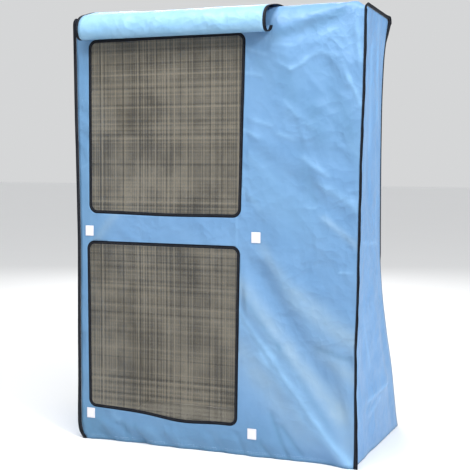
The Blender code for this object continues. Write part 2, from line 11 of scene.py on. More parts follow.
import bmesh
import bpy
import numpy as np
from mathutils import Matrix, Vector


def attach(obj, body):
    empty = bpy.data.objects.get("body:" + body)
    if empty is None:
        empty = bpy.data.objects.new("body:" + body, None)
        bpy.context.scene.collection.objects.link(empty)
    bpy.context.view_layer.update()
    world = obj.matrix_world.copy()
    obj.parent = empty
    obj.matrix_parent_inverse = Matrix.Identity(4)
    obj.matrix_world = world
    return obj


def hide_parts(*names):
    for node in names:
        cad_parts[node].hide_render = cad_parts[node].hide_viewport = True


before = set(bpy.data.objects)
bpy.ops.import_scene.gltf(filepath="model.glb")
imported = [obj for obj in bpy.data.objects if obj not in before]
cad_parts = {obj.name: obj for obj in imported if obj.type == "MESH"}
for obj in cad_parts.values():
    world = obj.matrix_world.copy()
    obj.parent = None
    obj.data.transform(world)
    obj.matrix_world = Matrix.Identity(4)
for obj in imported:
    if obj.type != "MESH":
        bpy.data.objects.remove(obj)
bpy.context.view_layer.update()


def table(columns, *rows):
    """A table with named columns."""
    kind = namedtuple("Row", columns)
    return [kind(*row) for row in rows]


# Sizes of the cover
HEIGHT = 1.360
FRONT_Y = -0.165
CROWN = 0.018
CLOTH = 0.0015
TAPE_WIDTH = 0.010
TAPE_THICKNESS = 0.0021
GAP = 0.0003
SIDE_TOP_GAP = 0.0007
EDGE_Z = -CROWN
EDGE_ROUND = 0.014
HEM_Z = EDGE_Z - HEIGHT

# The four long edges, from the top to the hem: left and right are the front edges, rear is half the width at
# the back, and back is how far behind the origin the back panel hangs.
EDGES = table(
    "drop left right rear back",
    (0.000, -0.469, 0.478, 0.474, 0.154),
    (0.140, -0.467, 0.477, 0.462, 0.146),
    (0.300, -0.465, 0.474, 0.459, 0.141),
    (0.430, -0.462, 0.470, 0.459, 0.140),
    (0.590, -0.459, 0.468, 0.460, 0.140),
    (0.735, -0.457, 0.466, 0.461, 0.142),
    (0.860, -0.458, 0.465, 0.462, 0.175),
    (1.000, -0.459, 0.461, 0.466, 0.231),
    (1.150, -0.459, 0.462, 0.474, 0.291),
    (1.300, -0.459, 0.463, 0.476, 0.351),
    (1.335, -0.454, 0.462, 0.477, 0.365),
    (1.360, -0.438, 0.461, 0.479, 0.375),
)

# The round between the front and the top: how high the top stands over the side edges, and the radius.
SHOULDER = table(
    "x crown radius",
    (-0.469, 0.000, 0.014),
    (-0.461, 0.000, 0.014),
    (-0.446, 0.008, 0.024),
    (-0.300, 0.017, 0.055),
    (0.100, 0.018, 0.068),
    (0.200, 0.018, 0.068),
    (0.330, 0.017, 0.050),
    (0.454, 0.011, 0.024),
    (0.470, 0.000, 0.014),
    (0.478, 0.000, 0.014),
)

# A run lies between its two ends. A fold stands out by its amount, or lies in by it, and a painted streak
# is as strong as its amount. The tables of runs are in millimetres, and a strength is a share.
Run = namedtuple("Run", "x0 drop0 x1 drop1 half_width amount")
MM = 1000.0


def folds(*rows):
    """A table of folds, in metres."""
    return [Run(*(value / MM for value in row)) for row in rows]


def streaks(*rows):
    """A table of painted streaks, in metres."""
    return [Run(*(value / MM for value in row[:-1]), row[-1]) for row in rows]


# Soft folds of the front
FRONT_FOLDS = folds(
    (98, 842, 440, 1325, 36, 14),
    (160, 790, 430, 1200, 38, -9),
    (172, 702, 470, 1120, 34, 8),
    (180, 1130, 330, 1330, 40, -7),
    (441, 50, 470, 330, 18, -6),
    (230, 120, 330, 330, 55, 5),
    (370, 180, 420, 420, 35, -5),
    (150, 380, 300, 470, 30, 4),
    (300, 520, 440, 640, 40, -5),
    (190, 560, 260, 760, 35, 4),
    (-391, 1275, -300, 1350, 16, 6),
    (-335, 1285, -245, 1352, 16, -5),
    (-280, 1290, -190, 1352, 16, 6),
    (-150, 1295, -110, 1352, 20, 5),
    (0, 1300, 30, 1355, 18, -5),
    (90, 1290, 140, 1352, 20, 6),
)
# Sharper small creases of the front
FRONT_CREASES = folds(
    (112, 106, 178, 132, 10, 3),
    (112, 180, 162, 192, 8, 2.8),
    (195, 122, 245, 138, 10, 2.2),
    (212, 156, 258, 176, 9, 2.6),
    (258, 178, 302, 156, 8, 3.2),
    (302, 148, 338, 132, 8, 3),
    (350, 128, 398, 142, 9, 3),
    (318, 108, 388, 72, 12, 2.6),
    (318, 208, 348, 240, 9, 2.6),
    (356, 212, 412, 256, 10, 2.4),
    (426, 196, 472, 280, 10, 4.5),
    (246, 286, 336, 352, 12, 3),
    (282, 318, 306, 402, 10, 2.8),
    (128, 322, 192, 342, 9, 2.4),
    (108, 352, 158, 378, 9, 3),
    (218, 364, 264, 382, 8, 3),
    (360, 300, 420, 345, 14, 2.6),
    (303, 442, 334, 468, 10, 4),
    (330, 466, 370, 488, 9, 3.6),
    (338, 494, 376, 534, 12, 3),
    (372, 530, 468, 584, 16, 4),
    (126, 428, 206, 506, 18, 3),
    (104, 536, 164, 586, 14, 3),
    (236, 566, 294, 530, 16, 2.6),
    (308, 585, 338, 585, 5, 1.8),
    (400, 400, 465, 432, 14, 2.8),
    (366, 628, 468, 702, 14, 3),
    (412, 774, 452, 778, 7, 2.4),
    (98, 1062, 152, 1044, 8, 2.4),
    (212, 1242, 238, 1238, 6, 2),
    (96, 905, 330, 1215, 12, 5),
    (330, 1215, 448, 1350, 11, 5.5),
    (350, 1010, 462, 1042, 12, -3.5),
    (200, 1225, 252, 1350, 10, -5),
    (236, 1262, 296, 1340, 10, -5),
    (150, 1300, 196, 1352, 10, -4.5),
    (85, 1290, 108, 1345, 10, -4.5),
    (-340, 1270, -288, 1314, 10, 5),
    (-388, 1286, -330, 1352, 10, 4.5),
    (-304, 1298, -284, 1352, 8, -5),
    (-262, 1300, -232, 1352, 8, -4.5),
    (-218, 1306, -168, 1346, 10, 4),
    (-80, 1318, -40, 1352, 9, -3.5),
    (-120, 1330, -95, 1354, 8, 3),
    (-30, 1300, 12, 1350, 9, 3),
    (-398, 700, -330, 622, 16, 3),
    (-310, 660, -270, 704, 12, 2.6),
    (-10, 640, 10, 700, 10, -1.6),
    (-456, 100, -436, 250, 8, 1.4),
    (-452, 420, -440, 620, 8, -1.4),
    (-452, 820, -442, 1120, 8, 1.4),
)
# Thin pressed lines left from folding the cover flat for its pack.
PACK_LINES = folds(
    (87, 618, 87, 704, 2.6, 1.2),
    (-417, 618, -417, 706, 2.6, 1.2),
    (100, 712, 300, 712, 2.6, 0.8),
    (100, 404, 460, 402, 2.6, 0.7),
    (300, 60, 300, 600, 2.6, 0.6),
    (300, 770, 360, 770, 2.6, 0.8),
    (105, 1012, 460, 1012, 2.6, 0.5),
)
FOLD_END = 1.5
CREASE_POWER = 1.35
# The fold that runs from the flap's end to the top right corner, over the round between front and top.
SHOULDER_FOLDS = folds(
    (214, 60, 330, 20, 20, 4),
    (330, 20, 440, -12, 12, 4),
    (250, 85, 400, 40, 20, -3),
)
# The flap's seam holds the cloth flat up to the first place.
FLAP_SEAM_END = (0.202, 0.236)
HEM_TUCK = 0.012
HEM_TUCK_FROM = 1.310
HEM_TUCK_REACH = 0.080
# Sewn and bound places hold the cloth flat, up to the first distance, and not past the second one.
EDGE_HOLD = 0.008
FRONT_EDGE_HOLD = (EDGE_HOLD, 0.045)
CREASE_EDGE_HOLD = (0.004, 0.016)
WINDOW_HOLD = (0.004, 0.030)
CREASE_WINDOW_HOLD = (0.002, 0.012)
FASTENER_HOLD = (0.045, 0.080)
CREASE_FASTENER_HOLD = (0.022, 0.036)
FRONT_TOP_HOLD = (0.050, 0.110)
BACK_EDGE_HOLD = (EDGE_HOLD, 0.070)
BACK_TOP_HOLD = (0.030, 0.150)
SIDE_EDGE_HOLD = (0.0, 0.060)
SIDE_CREASE_HOLD = (0.004, 0.020)
SIDE_TOP_HOLD = (0.020, 0.120)

# Folds of the side panels, with the distance behind the front edge in place of x.
SIDE_FOLDS = folds(
    (120, 30, 150, 600, 35, -6),
    (200, 850, 330, 1150, 40, 7),
    (120, 1180, 350, 1160, 22, 6),
    (90, 900, 180, 1300, 45, -6),
)
SIDE_CREASES = folds(
    (150, 1190, 390, 1172, 7, 4),
    (180, 1240, 300, 1205, 10, 2.5),
    (210, 60, 250, 330, 12, 2.5),
    (90, 40, 110, 420, 12, -2.2),
    (30, 240, 45, 560, 10, 1.6),
    (240, 330, 262, 700, 12, -1.8),
    (60, 690, 250, 700, 6, 1.4),
    (250, 760, 420, 1120, 20, 3),
    (120, 960, 150, 1110, 14, 2),
    (330, 1000, 450, 1300, 18, -3),
    (60, 1130, 110, 1330, 14, 2.4),
)
BACK_FOLDS = folds(
    (-300, 250, -220, 740, 60, -6),
    (320, 120, 260, 700, 60, -7),
    (-180, 800, -260, 1330, 60, 9),
    (50, 820, 80, 1330, 55, -9),
    (260, 800, 330, 1330, 60, 10),
)
BACK_CREASES = folds(
    (-420, 300, -340, 620, 20, 3.5),
    (300, 200, 420, 480, 20, 3.5),
    (340, 560, 400, 760, 16, -3),
    (-400, 760, -100, 790, 16, 3),
    (-380, 900, -300, 1200, 20, 4),
    (-120, 860, -60, 1250, 18, 4),
    (150, 900, 190, 1300, 20, 4),
    (340, 860, 420, 1240, 16, -3.5),
)
TOP_CREASES = folds(
    (240, 30, 440, 220, 30, 1.8),
    (300, 100, 420, 60, 20, -1.4),
    (-400, 80, -200, 200, 30, -1.4),
)

# The windows: corners from the top left, clockwise, as x and drop, to the outside of their binding.
Window = namedtuple("Window", "name corners radius sag sag_x sag_half_width")
WINDOWS = (
    Window(
        "upper", ((-0.424, 0.063), (0.113, 0.060), (0.101, 0.621), (-0.425, 0.617)),
        radius=0.028, sag=0.003, sag_x=-0.15, sag_half_width=0.15,
    ),
    Window(
        "lower", ((-0.433, 0.706), (0.098, 0.708), (0.091, 1.268), (-0.430, 1.252)),
        radius=0.026, sag=0.012, sag_x=-0.10, sag_half_width=0.10,
    ),
)
WINDOW_CORNER_POINTS = 13
WINDOW_SIDE_STEP = 0.010
CUTTER_REACH = 0.060
NET_RINGS = 26
NET_BELLY = 0.0035

FASTENERS = {
    "upper_left": (-0.424, 0.674),
    "upper_right": (0.150, 0.680),
    "lower_left": (-0.423, 1.273),
    "lower_right": (0.140, 1.287),
}
FASTENER_WIDTH = 0.029
FASTENER_HEIGHT = 0.033
FASTENER_THICKNESS = 0.0015
FASTENER_CORNER = 0.0015
FASTENER_CORNER_POINTS = 5
FASTENER_EDGE = 0.0008
FASTENER_EDGE_SHARE = 0.55
FASTENER_STITCH_INSET = 0.0025
FASTENER_STITCH_PITCH = 0.0042

# The flap, from its seam on the front: how far in front of the front panel it lies, and its height over the
# top side edges. It curls forward and up, lies on the top, turns over the back edge and hangs down.
FLAP_LEFT = -0.435
FLAP_RIGHT = 0.200
FLAP_LENGTH = 1.255
FLAP_PATH = table(
    "forward height",
    (0.0029, -0.045),
    (0.007, -0.053),
    (0.018, -0.061),
    (0.036, -0.067),
    (0.052, -0.065),
    (0.062, -0.056),
    (0.067, -0.040),
    (0.064, -0.022),
    (0.053, -0.005),
    (0.032, 0.008),
    (0.000, 0.016),
    (-0.040, 0.023),
    (-0.090, 0.026),
    (-0.150, 0.024),
    (-0.220, 0.0225),
    (-0.295, 0.0225),
    (-0.318, 0.019),
    (-0.329, 0.007),
    (-0.331, -0.010),
    (-0.330, -0.200),
    (-0.331, -0.450),
    (-0.333, -0.800),
)
PATH_POINTS = 12
FLAP_SLOPE_STEP = 0.002
FLAP_COLUMN_STEP = 0.010
FLAP_STEPS = table(
    "up_to step",
    (0.224, 0.005),
    (0.464, 0.010),
    (0.584, 0.004),
    (FLAP_LENGTH - TAPE_WIDTH, 0.012),
)
FLAP_END_LIFT = 0.009
FLAP_END_REACH = 0.120
FLAP_LIFT_AT = 0.270
FLAP_LIFT_REACH = 0.070
FLAP_HANGS = (0.600, 0.900)
FLAP_WAVE = 0.004
FLAP_WAVE_LENGTH = 0.310
FLAP_SMALL_WAVE = 0.4
FLAP_SMALL_WAVE_LENGTH = 0.170
# Creases of the flap, with the distance along it in place of the drop. They lift it off what it lies on.
FLAP_CREASES = folds(
    (-400, 60, -330, 140, 10, 2),
    (-280, 50, -250, 150, 12, 1.6),
    (-120, 70, -60, 140, 10, 1.6),
    (40, 60, 60, 150, 12, 1.6),
    (140, 60, 190, 130, 10, 1.8),
    (-300, 240, -100, 420, 30, 3),
    (20, 250, 150, 430, 25, 3),
    (-350, 620, -300, 1150, 20, 4),
    (-80, 640, -30, 1200, 25, 4),
    (80, 600, 140, 1150, 20, 4),
)
FLAP_CREASE_HOLD = (0.012, 0.040)
FLAP_SEAM_HOLD = (0.030, 0.060)

# Which way the side tape stands, in degrees from square to the panel towards the outside. The tables go from
# the hem up the front, and from the top down the back.
FRONT_TAPE_ANGLES = table(
    "drop angle",
    (0.000, 62.0),
    (0.120, 60.0),
    (0.300, 56.0),
    (1.100, 56.0),
    (1.250, 70.0),
    (1.360, 82.0),
)
TOP_TAPE_ANGLE = 45.0
BACK_TAPE_ANGLES = table(
    "drop angle",
    (0.000, 45.0),
    (0.030, 38.0),
    (0.080, 0.0),
    (0.735, 0.0),
    (0.860, -80.0),
    (1.360, -80.0),
)
TAPE_WAVER = 5.0
TAPE_WAVER_LENGTHS = (0.137, 0.061)
TAPE_SMALL_WAVER = 0.5
TAPE_STANDS = (20.0, 44.0)
# The tape bunches up where it turns the rear top corner.
KNUCKLE_EXTRA = 0.35
KNUCKLE_REACH = 0.030
# It is lifted a little where the back panel bends out.
BEND_LIFT = 0.0007
BEND_DROP = 0.742
BEND_REACH = 0.035
# It also stands wider at the front hem.
HEM_SPREAD = 0.30
HEM_SPREAD_REACH = 0.240

# Grid steps of the sheets
FRONT_STEP = 0.0063
BACK_STEP = 0.022
ROUND_STEPS = 12
QUARTER_TURN = np.linspace(0.0, math.pi / 2.0, ROUND_STEPS + 1)
# The signs of a square's four corners, in turn
QUADRANTS = ((1, 1), (-1, 1), (-1, -1), (1, -1))
TOP_STEPS = 22
SHOULDER_ROOM = 0.200
# The wrap's columns are finer beside the windows.
WRAP_SPANS = table(
    "start end columns",
    (0.0, 0.572, 56),
    (0.572, 1.0, 88),
)
SIDE_COLUMNS = 60
SIDE_STEP = 0.0085
TAPE_STEP = 0.009

# The tape's cross-section, from its outer edge to its inner edge: share of the width, and how thick it is
# there as a share of the full thickness. The stitches lie in the dip by the inner edge.
TAPE_PROFILE = table(
    "share thick",
    (0.00, 0.25),
    (0.03, 0.72),
    (0.10, 1.00),
    (0.20, 0.88),
    (0.32, 1.06),
    (0.50, 1.12),
    (0.68, 1.02),
    (0.80, 0.80),
    (0.90, 0.96),
    (0.97, 0.80),
    (1.00, 0.40),
)

# Stitches
STITCH_PITCH = 0.0050
STITCH_LENGTH = 0.0034
STITCH_WIDTH = 0.0007
STITCH_RISE = 0.00035
TAPE_STITCH_SHARE = 0.80
HEM_STITCH_DROPS = (1.3455, 1.3505)
HEM_STITCH_END = 0.025
HEM_STITCH_POINTS = 240

# Tables for the front: painted reflection, as streaks where the coated cloth looks greyer; painted
# highlights, where it looks brighter; and painted shade, where it looks deeper.
# Painted reflection: paler, greyer bands where the coat would mirror its bright surroundings
PAINTED_REFLECTION_STREAKS = streaks(
    (108, 838, 400, 1190, 28, 0.85),
    (172, 716, 290, 868, 20, 0.50),
    (290, 868, 462, 985, 36, 0.80),
    (370, 1020, 462, 1085, 30, 0.75),
    (364, 618, 470, 700, 10, 0.55),
    (120, 1050, 290, 1240, 55, 0.70),
    (420, 1160, 450, 1280, 34, 0.55),
    (-398, 700, -335, 622, 15, 0.60),
    (105, 60, 200, 80, 16, 0.30),
)
# Painted highlights: glints on small creases and pressed lines, and the bright crest of the long low fold
PAINTED_HIGHLIGHT_STREAKS = streaks(
    (96, 915, 196, 1044, 17, 0.85),
    (196, 1044, 326, 1222, 27, 1.00),
    (326, 1222, 446, 1347, 19, 1.00),
    (87, 618, 87, 704, 2.2, 0.50),
    (-417, 618, -417, 706, 4, 0.40),
    (-452, 470, -436, 462, 4, 0.40),
    (-450, 250, -437, 256, 4, 0.35),
    (-395, 1290, -345, 1345, 7, 0.35),
    (-120, 1328, -60, 1340, 5, 0.30),
    (10, 1300, 40, 1345, 7, 0.25),
    (200, 101, 272, 105, 5, 0.30),
    (232, 159, 260, 176, 4, 0.40),
    (415, 160, 436, 212, 6, 0.35),
    (455, 40, 469, 160, 7, 0.40),
    (240, 268, 278, 312, 4, 0.40),
    (300, 335, 331, 353, 4, 0.40),
    (242, 300, 290, 318, 4, 0.30),
    (144, 325, 198, 341, 5, 0.40),
    (102, 532, 160, 590, 9, 0.30),
    (130, 440, 202, 502, 11, 0.25),
    (311, 585, 337, 585, 2, 0.60),
    (440, 396, 466, 431, 6, 0.30),
    (414, 775, 452, 778, 3, 0.50),
    (348, 518, 372, 540, 5, 0.35),
    (300, 60, 420, 90, 40, 0.25),
    (90, 500, 300, 620, 60, 0.20),
    (432, 205, 472, 282, 7, 0.60),
    (303, 442, 370, 488, 8, 0.45),
    (372, 530, 466, 584, 14, 0.40),
    (112, 182, 160, 192, 5, 0.50),
    (258, 176, 300, 157, 5, 0.50),
    (302, 148, 336, 133, 5, 0.45),
    (352, 130, 396, 142, 6, 0.40),
    (112, 108, 176, 130, 6, 0.35),
    (220, 366, 262, 381, 6, 0.45),
    (110, 354, 156, 376, 6, 0.40),
    (-338, 1272, -290, 1312, 9, 0.55),
    (-216, 1306, -170, 1344, 9, 0.35),
    (240, 820, 330, 960, 22, 0.25),
)
# Painted shade: under the shoulder fold, in troughs and creases, and in darker patches
PAINTED_SHADE_STREAKS = streaks(
    (215, 75, 400, 12, 16, 0.40),
    (240, 200, 262, 250, 26, 0.20),
    (330, 300, 350, 380, 24, 0.24),
    (312, 475, 330, 560, 18, 0.22),
    (150, 150, 182, 180, 13, 0.16),
    (424, 300, 442, 362, 18, 0.16),
    (320, 172, 340, 190, 10, 0.18),
    (118, 872, 230, 1010, 8, 0.35),
    (230, 1010, 385, 1228, 10, 0.30),
    (330, 60, 420, 12, 14, 0.35),
    (350, 1006, 458, 1036, 10, 0.35),
    (200, 1225, 252, 1345, 8, 0.45),
    (236, 1262, 292, 1336, 8, 0.40),
    (150, 1300, 196, 1350, 8, 0.35),
    (-304, 1298, -286, 1350, 7, 0.40),
    (-262, 1300, -232, 1350, 7, 0.35),
    (-400, 1310, -360, 1345, 12, 0.30),
    (380, 180, 450, 420, 35, 0.22),
    (290, 420, 300, 500, 20, 0.15),
    (210, 170, 330, 300, 100, 0.26),
    (150, 480, 260, 600, 90, 0.24),
)
# Painted shade on the strip along the left edge, in a band above the hem on the left, and along the hem's
# edge; FRONT_PAINT_ENDS is where the front's painted light fades out towards the back
LEFT_STRIP_PAINTED_SHADE = 0.45
LEFT_STRIP_REACH = (-0.455, -0.300)
LOW_BAND_PAINTED_SHADE = 0.60
LOW_BAND_FROM = (1.180, 1.330)
HEM_EDGE_PAINTED_SHADE = 0.70
HEM_EDGE_FROM = (1.349, 1.357)
LOW_BAND_REACH = (0.100, 0.400)
FRONT_PAINT_ENDS = (-0.150, -0.090)
# Painted highlights and painted shade of the side panels, with the distance behind the front edge in place of
# x
SIDE_PAINTED_HIGHLIGHTS = streaks(
    (20, 700, 20, 1360, 14, 0.55),
    (150, 1190, 390, 1172, 6, 0.70),
    (180, 1240, 290, 1208, 8, 0.50),
    (200, 40, 240, 300, 20, 0.35),
    (60, 692, 250, 702, 5, 0.45),
    (140, 100, 150, 400, 14, 0.35),
    (60, 180, 75, 520, 8, 0.30),
    (230, 420, 250, 700, 12, 0.25),
    (120, 940, 180, 1080, 10, 0.30),
)
SIDE_PAINTED_SHADE_STREAKS = streaks(
    (320, 900, 480, 1300, 40, 0.20),
    (290, 300, 295, 700, 12, 0.25),
    (60, 1180, 240, 1220, 20, 0.12),
)

# Finish values
FRONT_BLUE = (0.140, 0.280, 0.480)
# The sides' blue is a copy of the front's, painted bluer to stand in for how the light falls on the sides
SIDE_BLUE_WITH_PAINTED_LIGHT = (0.132, 0.292, 0.535)
# The flap's blue is a copy of the front's, painted lighter to stand in for the light from above
FLAP_BLUE_PAINTED_LIGHTER = (0.232, 0.420, 0.600)
INSIDE_BLUE = (0.110, 0.200, 0.330)
# Shades of the cloth, as shares of its own colour: painted reflection, painted highlight, a darker tone for
# its mottle and weave, and painted shade
CLOTH_PAINTED_REFLECTION = (1.62, 1.22, 0.95)
CLOTH_PAINTED_HIGHLIGHT = (1.80, 1.68, 1.52)
CLOTH_DEEP = (0.76, 0.84, 0.89)
CLOTH_PAINTED_SHADE = (0.56, 0.68, 0.66)
NoiseRow = namedtuple("NoiseRow", "scale detail roughness")
CLOTH_CLOUDS = NoiseRow(3.4, 3.0, 0.55)
CLOTH_PATCHES = NoiseRow(13.0, 4.0, 0.60)
# Spreads: a noise's range, and the range that it is moved to
CLOTH_MOTTLE = (0.75, 1.25, 0.0, 0.9)
PAINT_BREAKS = (0.35, 0.62, 0.55, 1.0)
CLOTH_ROUGH = (0.30, 0.70, 0.38, 0.52)
CLOTH_COAT = 0.08
CLOTH_GLOSS = {
    "Specular IOR Level": 0.35,
    "Sheen Weight": 0.03,
    "Sheen Roughness": 0.45,
    "Coat Roughness": 0.40,
}
WEAVE_SHADE = 0.30
WEAVE_PITCH = 0.0016
WEAVE_DEPTH = 0.00012
# The crumple is made of dents and of slanting creases: how many there are a metre and how deep they lie. The
# creases have a slant in degrees and are longer than wide.
DENTS = table(
    "scale depth",
    (12.0, 0.0066),
    (29.0, 0.0035),
)
SLANTS = table(
    "slant stretch scale depth",
    (38.0, 3.2, 9.0, 0.0130),
    (-28.0, 2.2, 13.0, 0.0068),
    (72.0, 2.6, 17.0, 0.0046),
)
SLANT_WANDER = (1.0, 0.4)
# How the dents are bent, where the crumple is calm, and its fine grain
DENT_BENDS = NoiseRow(5.5, 3.0, 0.5)
DENT_BEND = 0.160
CALM = NoiseRow(3.0, 1.0, 0.5)
CALM_SPREAD = (0.38, 0.58, 0.35, 1.0)
FINE_CRUMPLE = NoiseRow(60.0, 3.0, 0.6)
FINE_DEPTH = 0.0012
# Tape
TAPE_DARK = (0.003, 0.004, 0.008)
TAPE_WORN = (0.008, 0.010, 0.015)
# A painted highlight line along the tape's middle, where its raised face would catch the light
TAPE_PAINTED_HIGHLIGHT = (0.034, 0.037, 0.043)
TAPE_HIGHLIGHT_AT = 0.52
TAPE_HIGHLIGHT_HALF = 0.13
TAPE_WEAVE_PITCH = 0.0012
TAPE_WEAVE_DEPTH = 0.0002
TAPE_WEAVE_STRENGTH = 0.6
TAPE_CLOUDS = NoiseRow(38.0, 4.0, 0.6)
TAPE_WEAR = (0.35, 0.75)
TAPE_ROUGH = (0.60, 0.80)
TAPE_GLOSS = {"Specular IOR Level": 0.10, "Sheen Weight": 0.01, "Sheen Roughness": 0.4}
# Hook-and-loop tape
LOOP_WHITE = (0.790, 0.790, 0.820)
# Painted shade in the hollows between the loops
LOOP_HOLLOW_PAINTED_SHADE = (0.600, 0.590, 0.670)
LOOP_SCALE = 900.0
LOOP_RANDOM = 0.8
LOOP_TUFTS = NoiseRow(260.0, 3.0, 0.5)
LOOP_DEPTH = 0.0004
LOOP_STRENGTH = 0.6
LOOP_GLOSS = {"Roughness": 0.85, "Sheen Weight": 0.4}
# Sewing thread
BLACK_THREAD = (0.022, 0.026, 0.040)
BLUE_THREAD = (0.42, 0.62, 0.86)
WHITE_THREAD = (0.50, 0.48, 0.58)
TWIST_SCALE = 900.0
TWIST_SHADE = 0.6
THREAD_GLOSS = {"Roughness": 0.55, "Sheen Weight": 0.3}
# Net
NET_PITCH = 0.0022
NET_THREAD = (0.62, 0.74)
# Some of its threads are paler than others, the upright ones most.
NET_UNEVEN = table(
    "axis scale detail roughness weight",
    ("X", 150.0, 2.0, 0.6, 1.3),
    ("Z", 95.0, 2.0, 0.6, 0.7),
)
NET_CLOUDS = NoiseRow(6.0, 3.0, 0.6)
NET_RELIEF = 0.2 * NET_PITCH
NET_RELIEF_STRENGTH = 0.5
NET_ROUGH = 0.55
NET_UNEVEN_SPREAD = (1.25, 1.75)
NET_DARK = (0.050, 0.044, 0.032)
NET_PALE = (0.212, 0.192, 0.148)

# Camera and light
CAMERA_PLACE = (1.178, -2.9837, -0.4799)
CAMERA_TURN = (85.991, -0.224, 21.281)
CAMERA_LENS = 75.871
CAMERA_SENSOR = 36.0
FLOOR_HALF = 40.0
FLOOR_CLEAR = 0.0008
FLOOR_COLOUR = (0.92, 0.925, 0.93)
FLOOR_CLOUDS = NoiseRow(0.7, 3.0, 0.5)
FLOOR_SHADE = 0.985
FLOOR_ROUGH = 0.9
WORLD_COLOUR = (0.98, 0.99, 1.00)
WORLD_STRENGTH = 0.68
Lamp = namedtuple("Lamp", "name place aim size power colour")
LAMPS = (
    Lamp("key", (3.6, -2.7, 2.0), (0.0, 0.0, -0.7), 1.0, 190.0, (1.0, 0.99, 0.97)),
    Lamp("top", (0.0, -0.85, 1.2), (0.0, 0.0, 0.0), 1.0, 35.0, (1.0, 1.0, 1.0)),
    Lamp("side", (3.4, 0.6, 0.2), (0.0, 0.0, -0.7), 2.2, 14.0, (1.0, 1.0, 1.0)),
    Lamp("fill", (-2.8, -3.2, 0.8), (0.0, 0.0, -0.7), 2.6, 12.0, (0.97, 0.99, 1.0)),
    Lamp("rear", (-1.6, 4.0, 1.4), (0.0, 0.0, -0.7), 2.0, 70.0, (1.0, 1.0, 1.0)),
)


def smooth_step(value, low, high):
    """0 at low and 1 at high, with a soft start and end."""
    share = np.clip((value - low) / (high - low), 0.0, 1.0)
    return share * share * (3.0 - 2.0 * share)


def table_value(rows, key, column):
    """A column of a table at the keys, on a soft curve through its rows that never overshoots them."""
    keys = np.array([row[0] for row in rows])
    values = np.array([getattr(row, column) for row in rows])
    rise = np.diff(values) / np.diff(keys)
    slopes = np.concatenate([rise[:1], np.zeros(len(keys) - 2), rise[-1:]])
    inner = slopes[1:-1]
    same = rise[:-1] * rise[1:] > 0.0
    inner[same] = 2.0 * rise[:-1][same] * rise[1:][same] / (rise[:-1][same] + rise[1:][same])
    key = np.asarray(key, dtype=float)
    at = np.clip(np.searchsorted(keys, key, side="right") - 1, 0, len(keys) - 2)
    width = keys[at + 1] - keys[at]
    t = np.clip((key - keys[at]) / width, 0.0, 1.0)
    low_part = (1.0 + 2.0 * t) * (1.0 - t) ** 2 * values[at] + t * (1.0 - t) ** 2 * width * slopes[at]
    high_part = t**2 * (3.0 - 2.0 * t) * values[at + 1] + t**2 * (t - 1.0) * width * slopes[at + 1]
    return low_part + high_part


def edge(drop, column):
    """A column of the edge table at the drops."""
    return table_value(EDGES, drop, column)


def fold_height(runs, x, drop, power=2.0):
    """How far the soft folds of a table push the cloth out."""
    total = np.zeros(np.broadcast(x, drop).shape)
    for run in runs:
        run_x, run_drop = run.x1 - run.x0, run.drop1 - run.drop0
        length = math.hypot(run_x, run_drop)
        along = ((x - run.x0) * run_x + (drop - run.drop0) * run_drop) / length
        across = ((x - run.x0) * run_drop - (drop - run.drop0) * run_x) / length
        over = np.maximum(np.maximum(-along, along - length), 0.0) / FOLD_END
        total += run.amount * np.exp(-((np.hypot(across, over) / run.half_width) ** power))
    return total


def crease_height(runs, x, drop):
    """How far the sharper creases of a table push the cloth out."""
    return fold_height(runs, x, drop, CREASE_POWER)


def streak_strength(runs, x, drop):
    """How strong the painted streaks of a table are."""
    return np.minimum(fold_height(runs, x, drop), 1.0)


def window_clearance(x, drop):
    """How far a place lies outside the nearest window, roughly, or 0 inside one."""
    nearest = np.full(np.broadcast(x, drop).shape, HEIGHT)
    for window in WINDOWS:
        xs = [corner[0] for corner in window.corners]
        drops = [corner[1] for corner in window.corners]
        beside = np.maximum(np.maximum(min(xs) - x, x - max(xs)), 0.0)
        above = np.maximum(np.maximum(min(drops) - drop, drop - max(drops) - window.sag), 0.0)
        nearest = np.minimum(nearest, np.hypot(beside, above))
    return nearest


def fastener_clearance(x, drop):
    """How far a place lies from the middle of the nearest fastener square."""
    return np.min([np.hypot(x - place[0], drop - place[1]) for place in FASTENERS.values()], axis=0)


def front_relief(x, drop):
    """How far the front stands out from its plane."""
    from_edge = np.minimum(x - edge(drop, "left"), edge(drop, "right") - x)
    clear_window = window_clearance(x, drop)
    clear_fastener = fastener_clearance(x, drop)
    hold = smooth_step(from_edge, *FRONT_EDGE_HOLD) * smooth_step(clear_window, *WINDOW_HOLD)
    hold = hold * smooth_step(clear_fastener, *FASTENER_HOLD) * smooth_step(drop, *FRONT_TOP_HOLD)
    fine = smooth_step(from_edge, *CREASE_EDGE_HOLD) * smooth_step(clear_window, *CREASE_WINDOW_HOLD)
    fine = fine * smooth_step(clear_fastener, *CREASE_FASTENER_HOLD)
    tuck = smooth_step(drop, HEM_TUCK_FROM, HEIGHT) * smooth_step(from_edge, EDGE_HOLD, HEM_TUCK_REACH)
    relief = fold_height(FRONT_FOLDS, x, drop) * hold + crease_height(FRONT_CREASES, x, drop) * fine
    relief = relief + crease_height(PACK_LINES, x, drop) * fine
    shoulder = fold_height(SHOULDER_FOLDS, x, drop) * smooth_step(x, *FLAP_SEAM_END)
    return relief + shoulder * fine - HEM_TUCK * tuck


def front_place(x, drop):
    """Points of the front panel's inner face."""
    x, drop = np.broadcast_arrays(np.asarray(x, dtype=float), np.asarray(drop, dtype=float))
    return np.stack([x, FRONT_Y - front_relief(x, drop), EDGE_Z - drop], axis=-1)


def even_steps(stops, step):
    """Places from the first stop to the last, about a step apart."""
    count = max(1, math.ceil(abs(stops[1] - stops[0]) / step))
    return np.linspace(stops[0], stops[1], count + 1)


def front_x(share, drop):
    """X on the front, a share of the way from the left edge to the right."""
    left = edge(drop, "left")
    return left + (edge(drop, "right") - left) * share


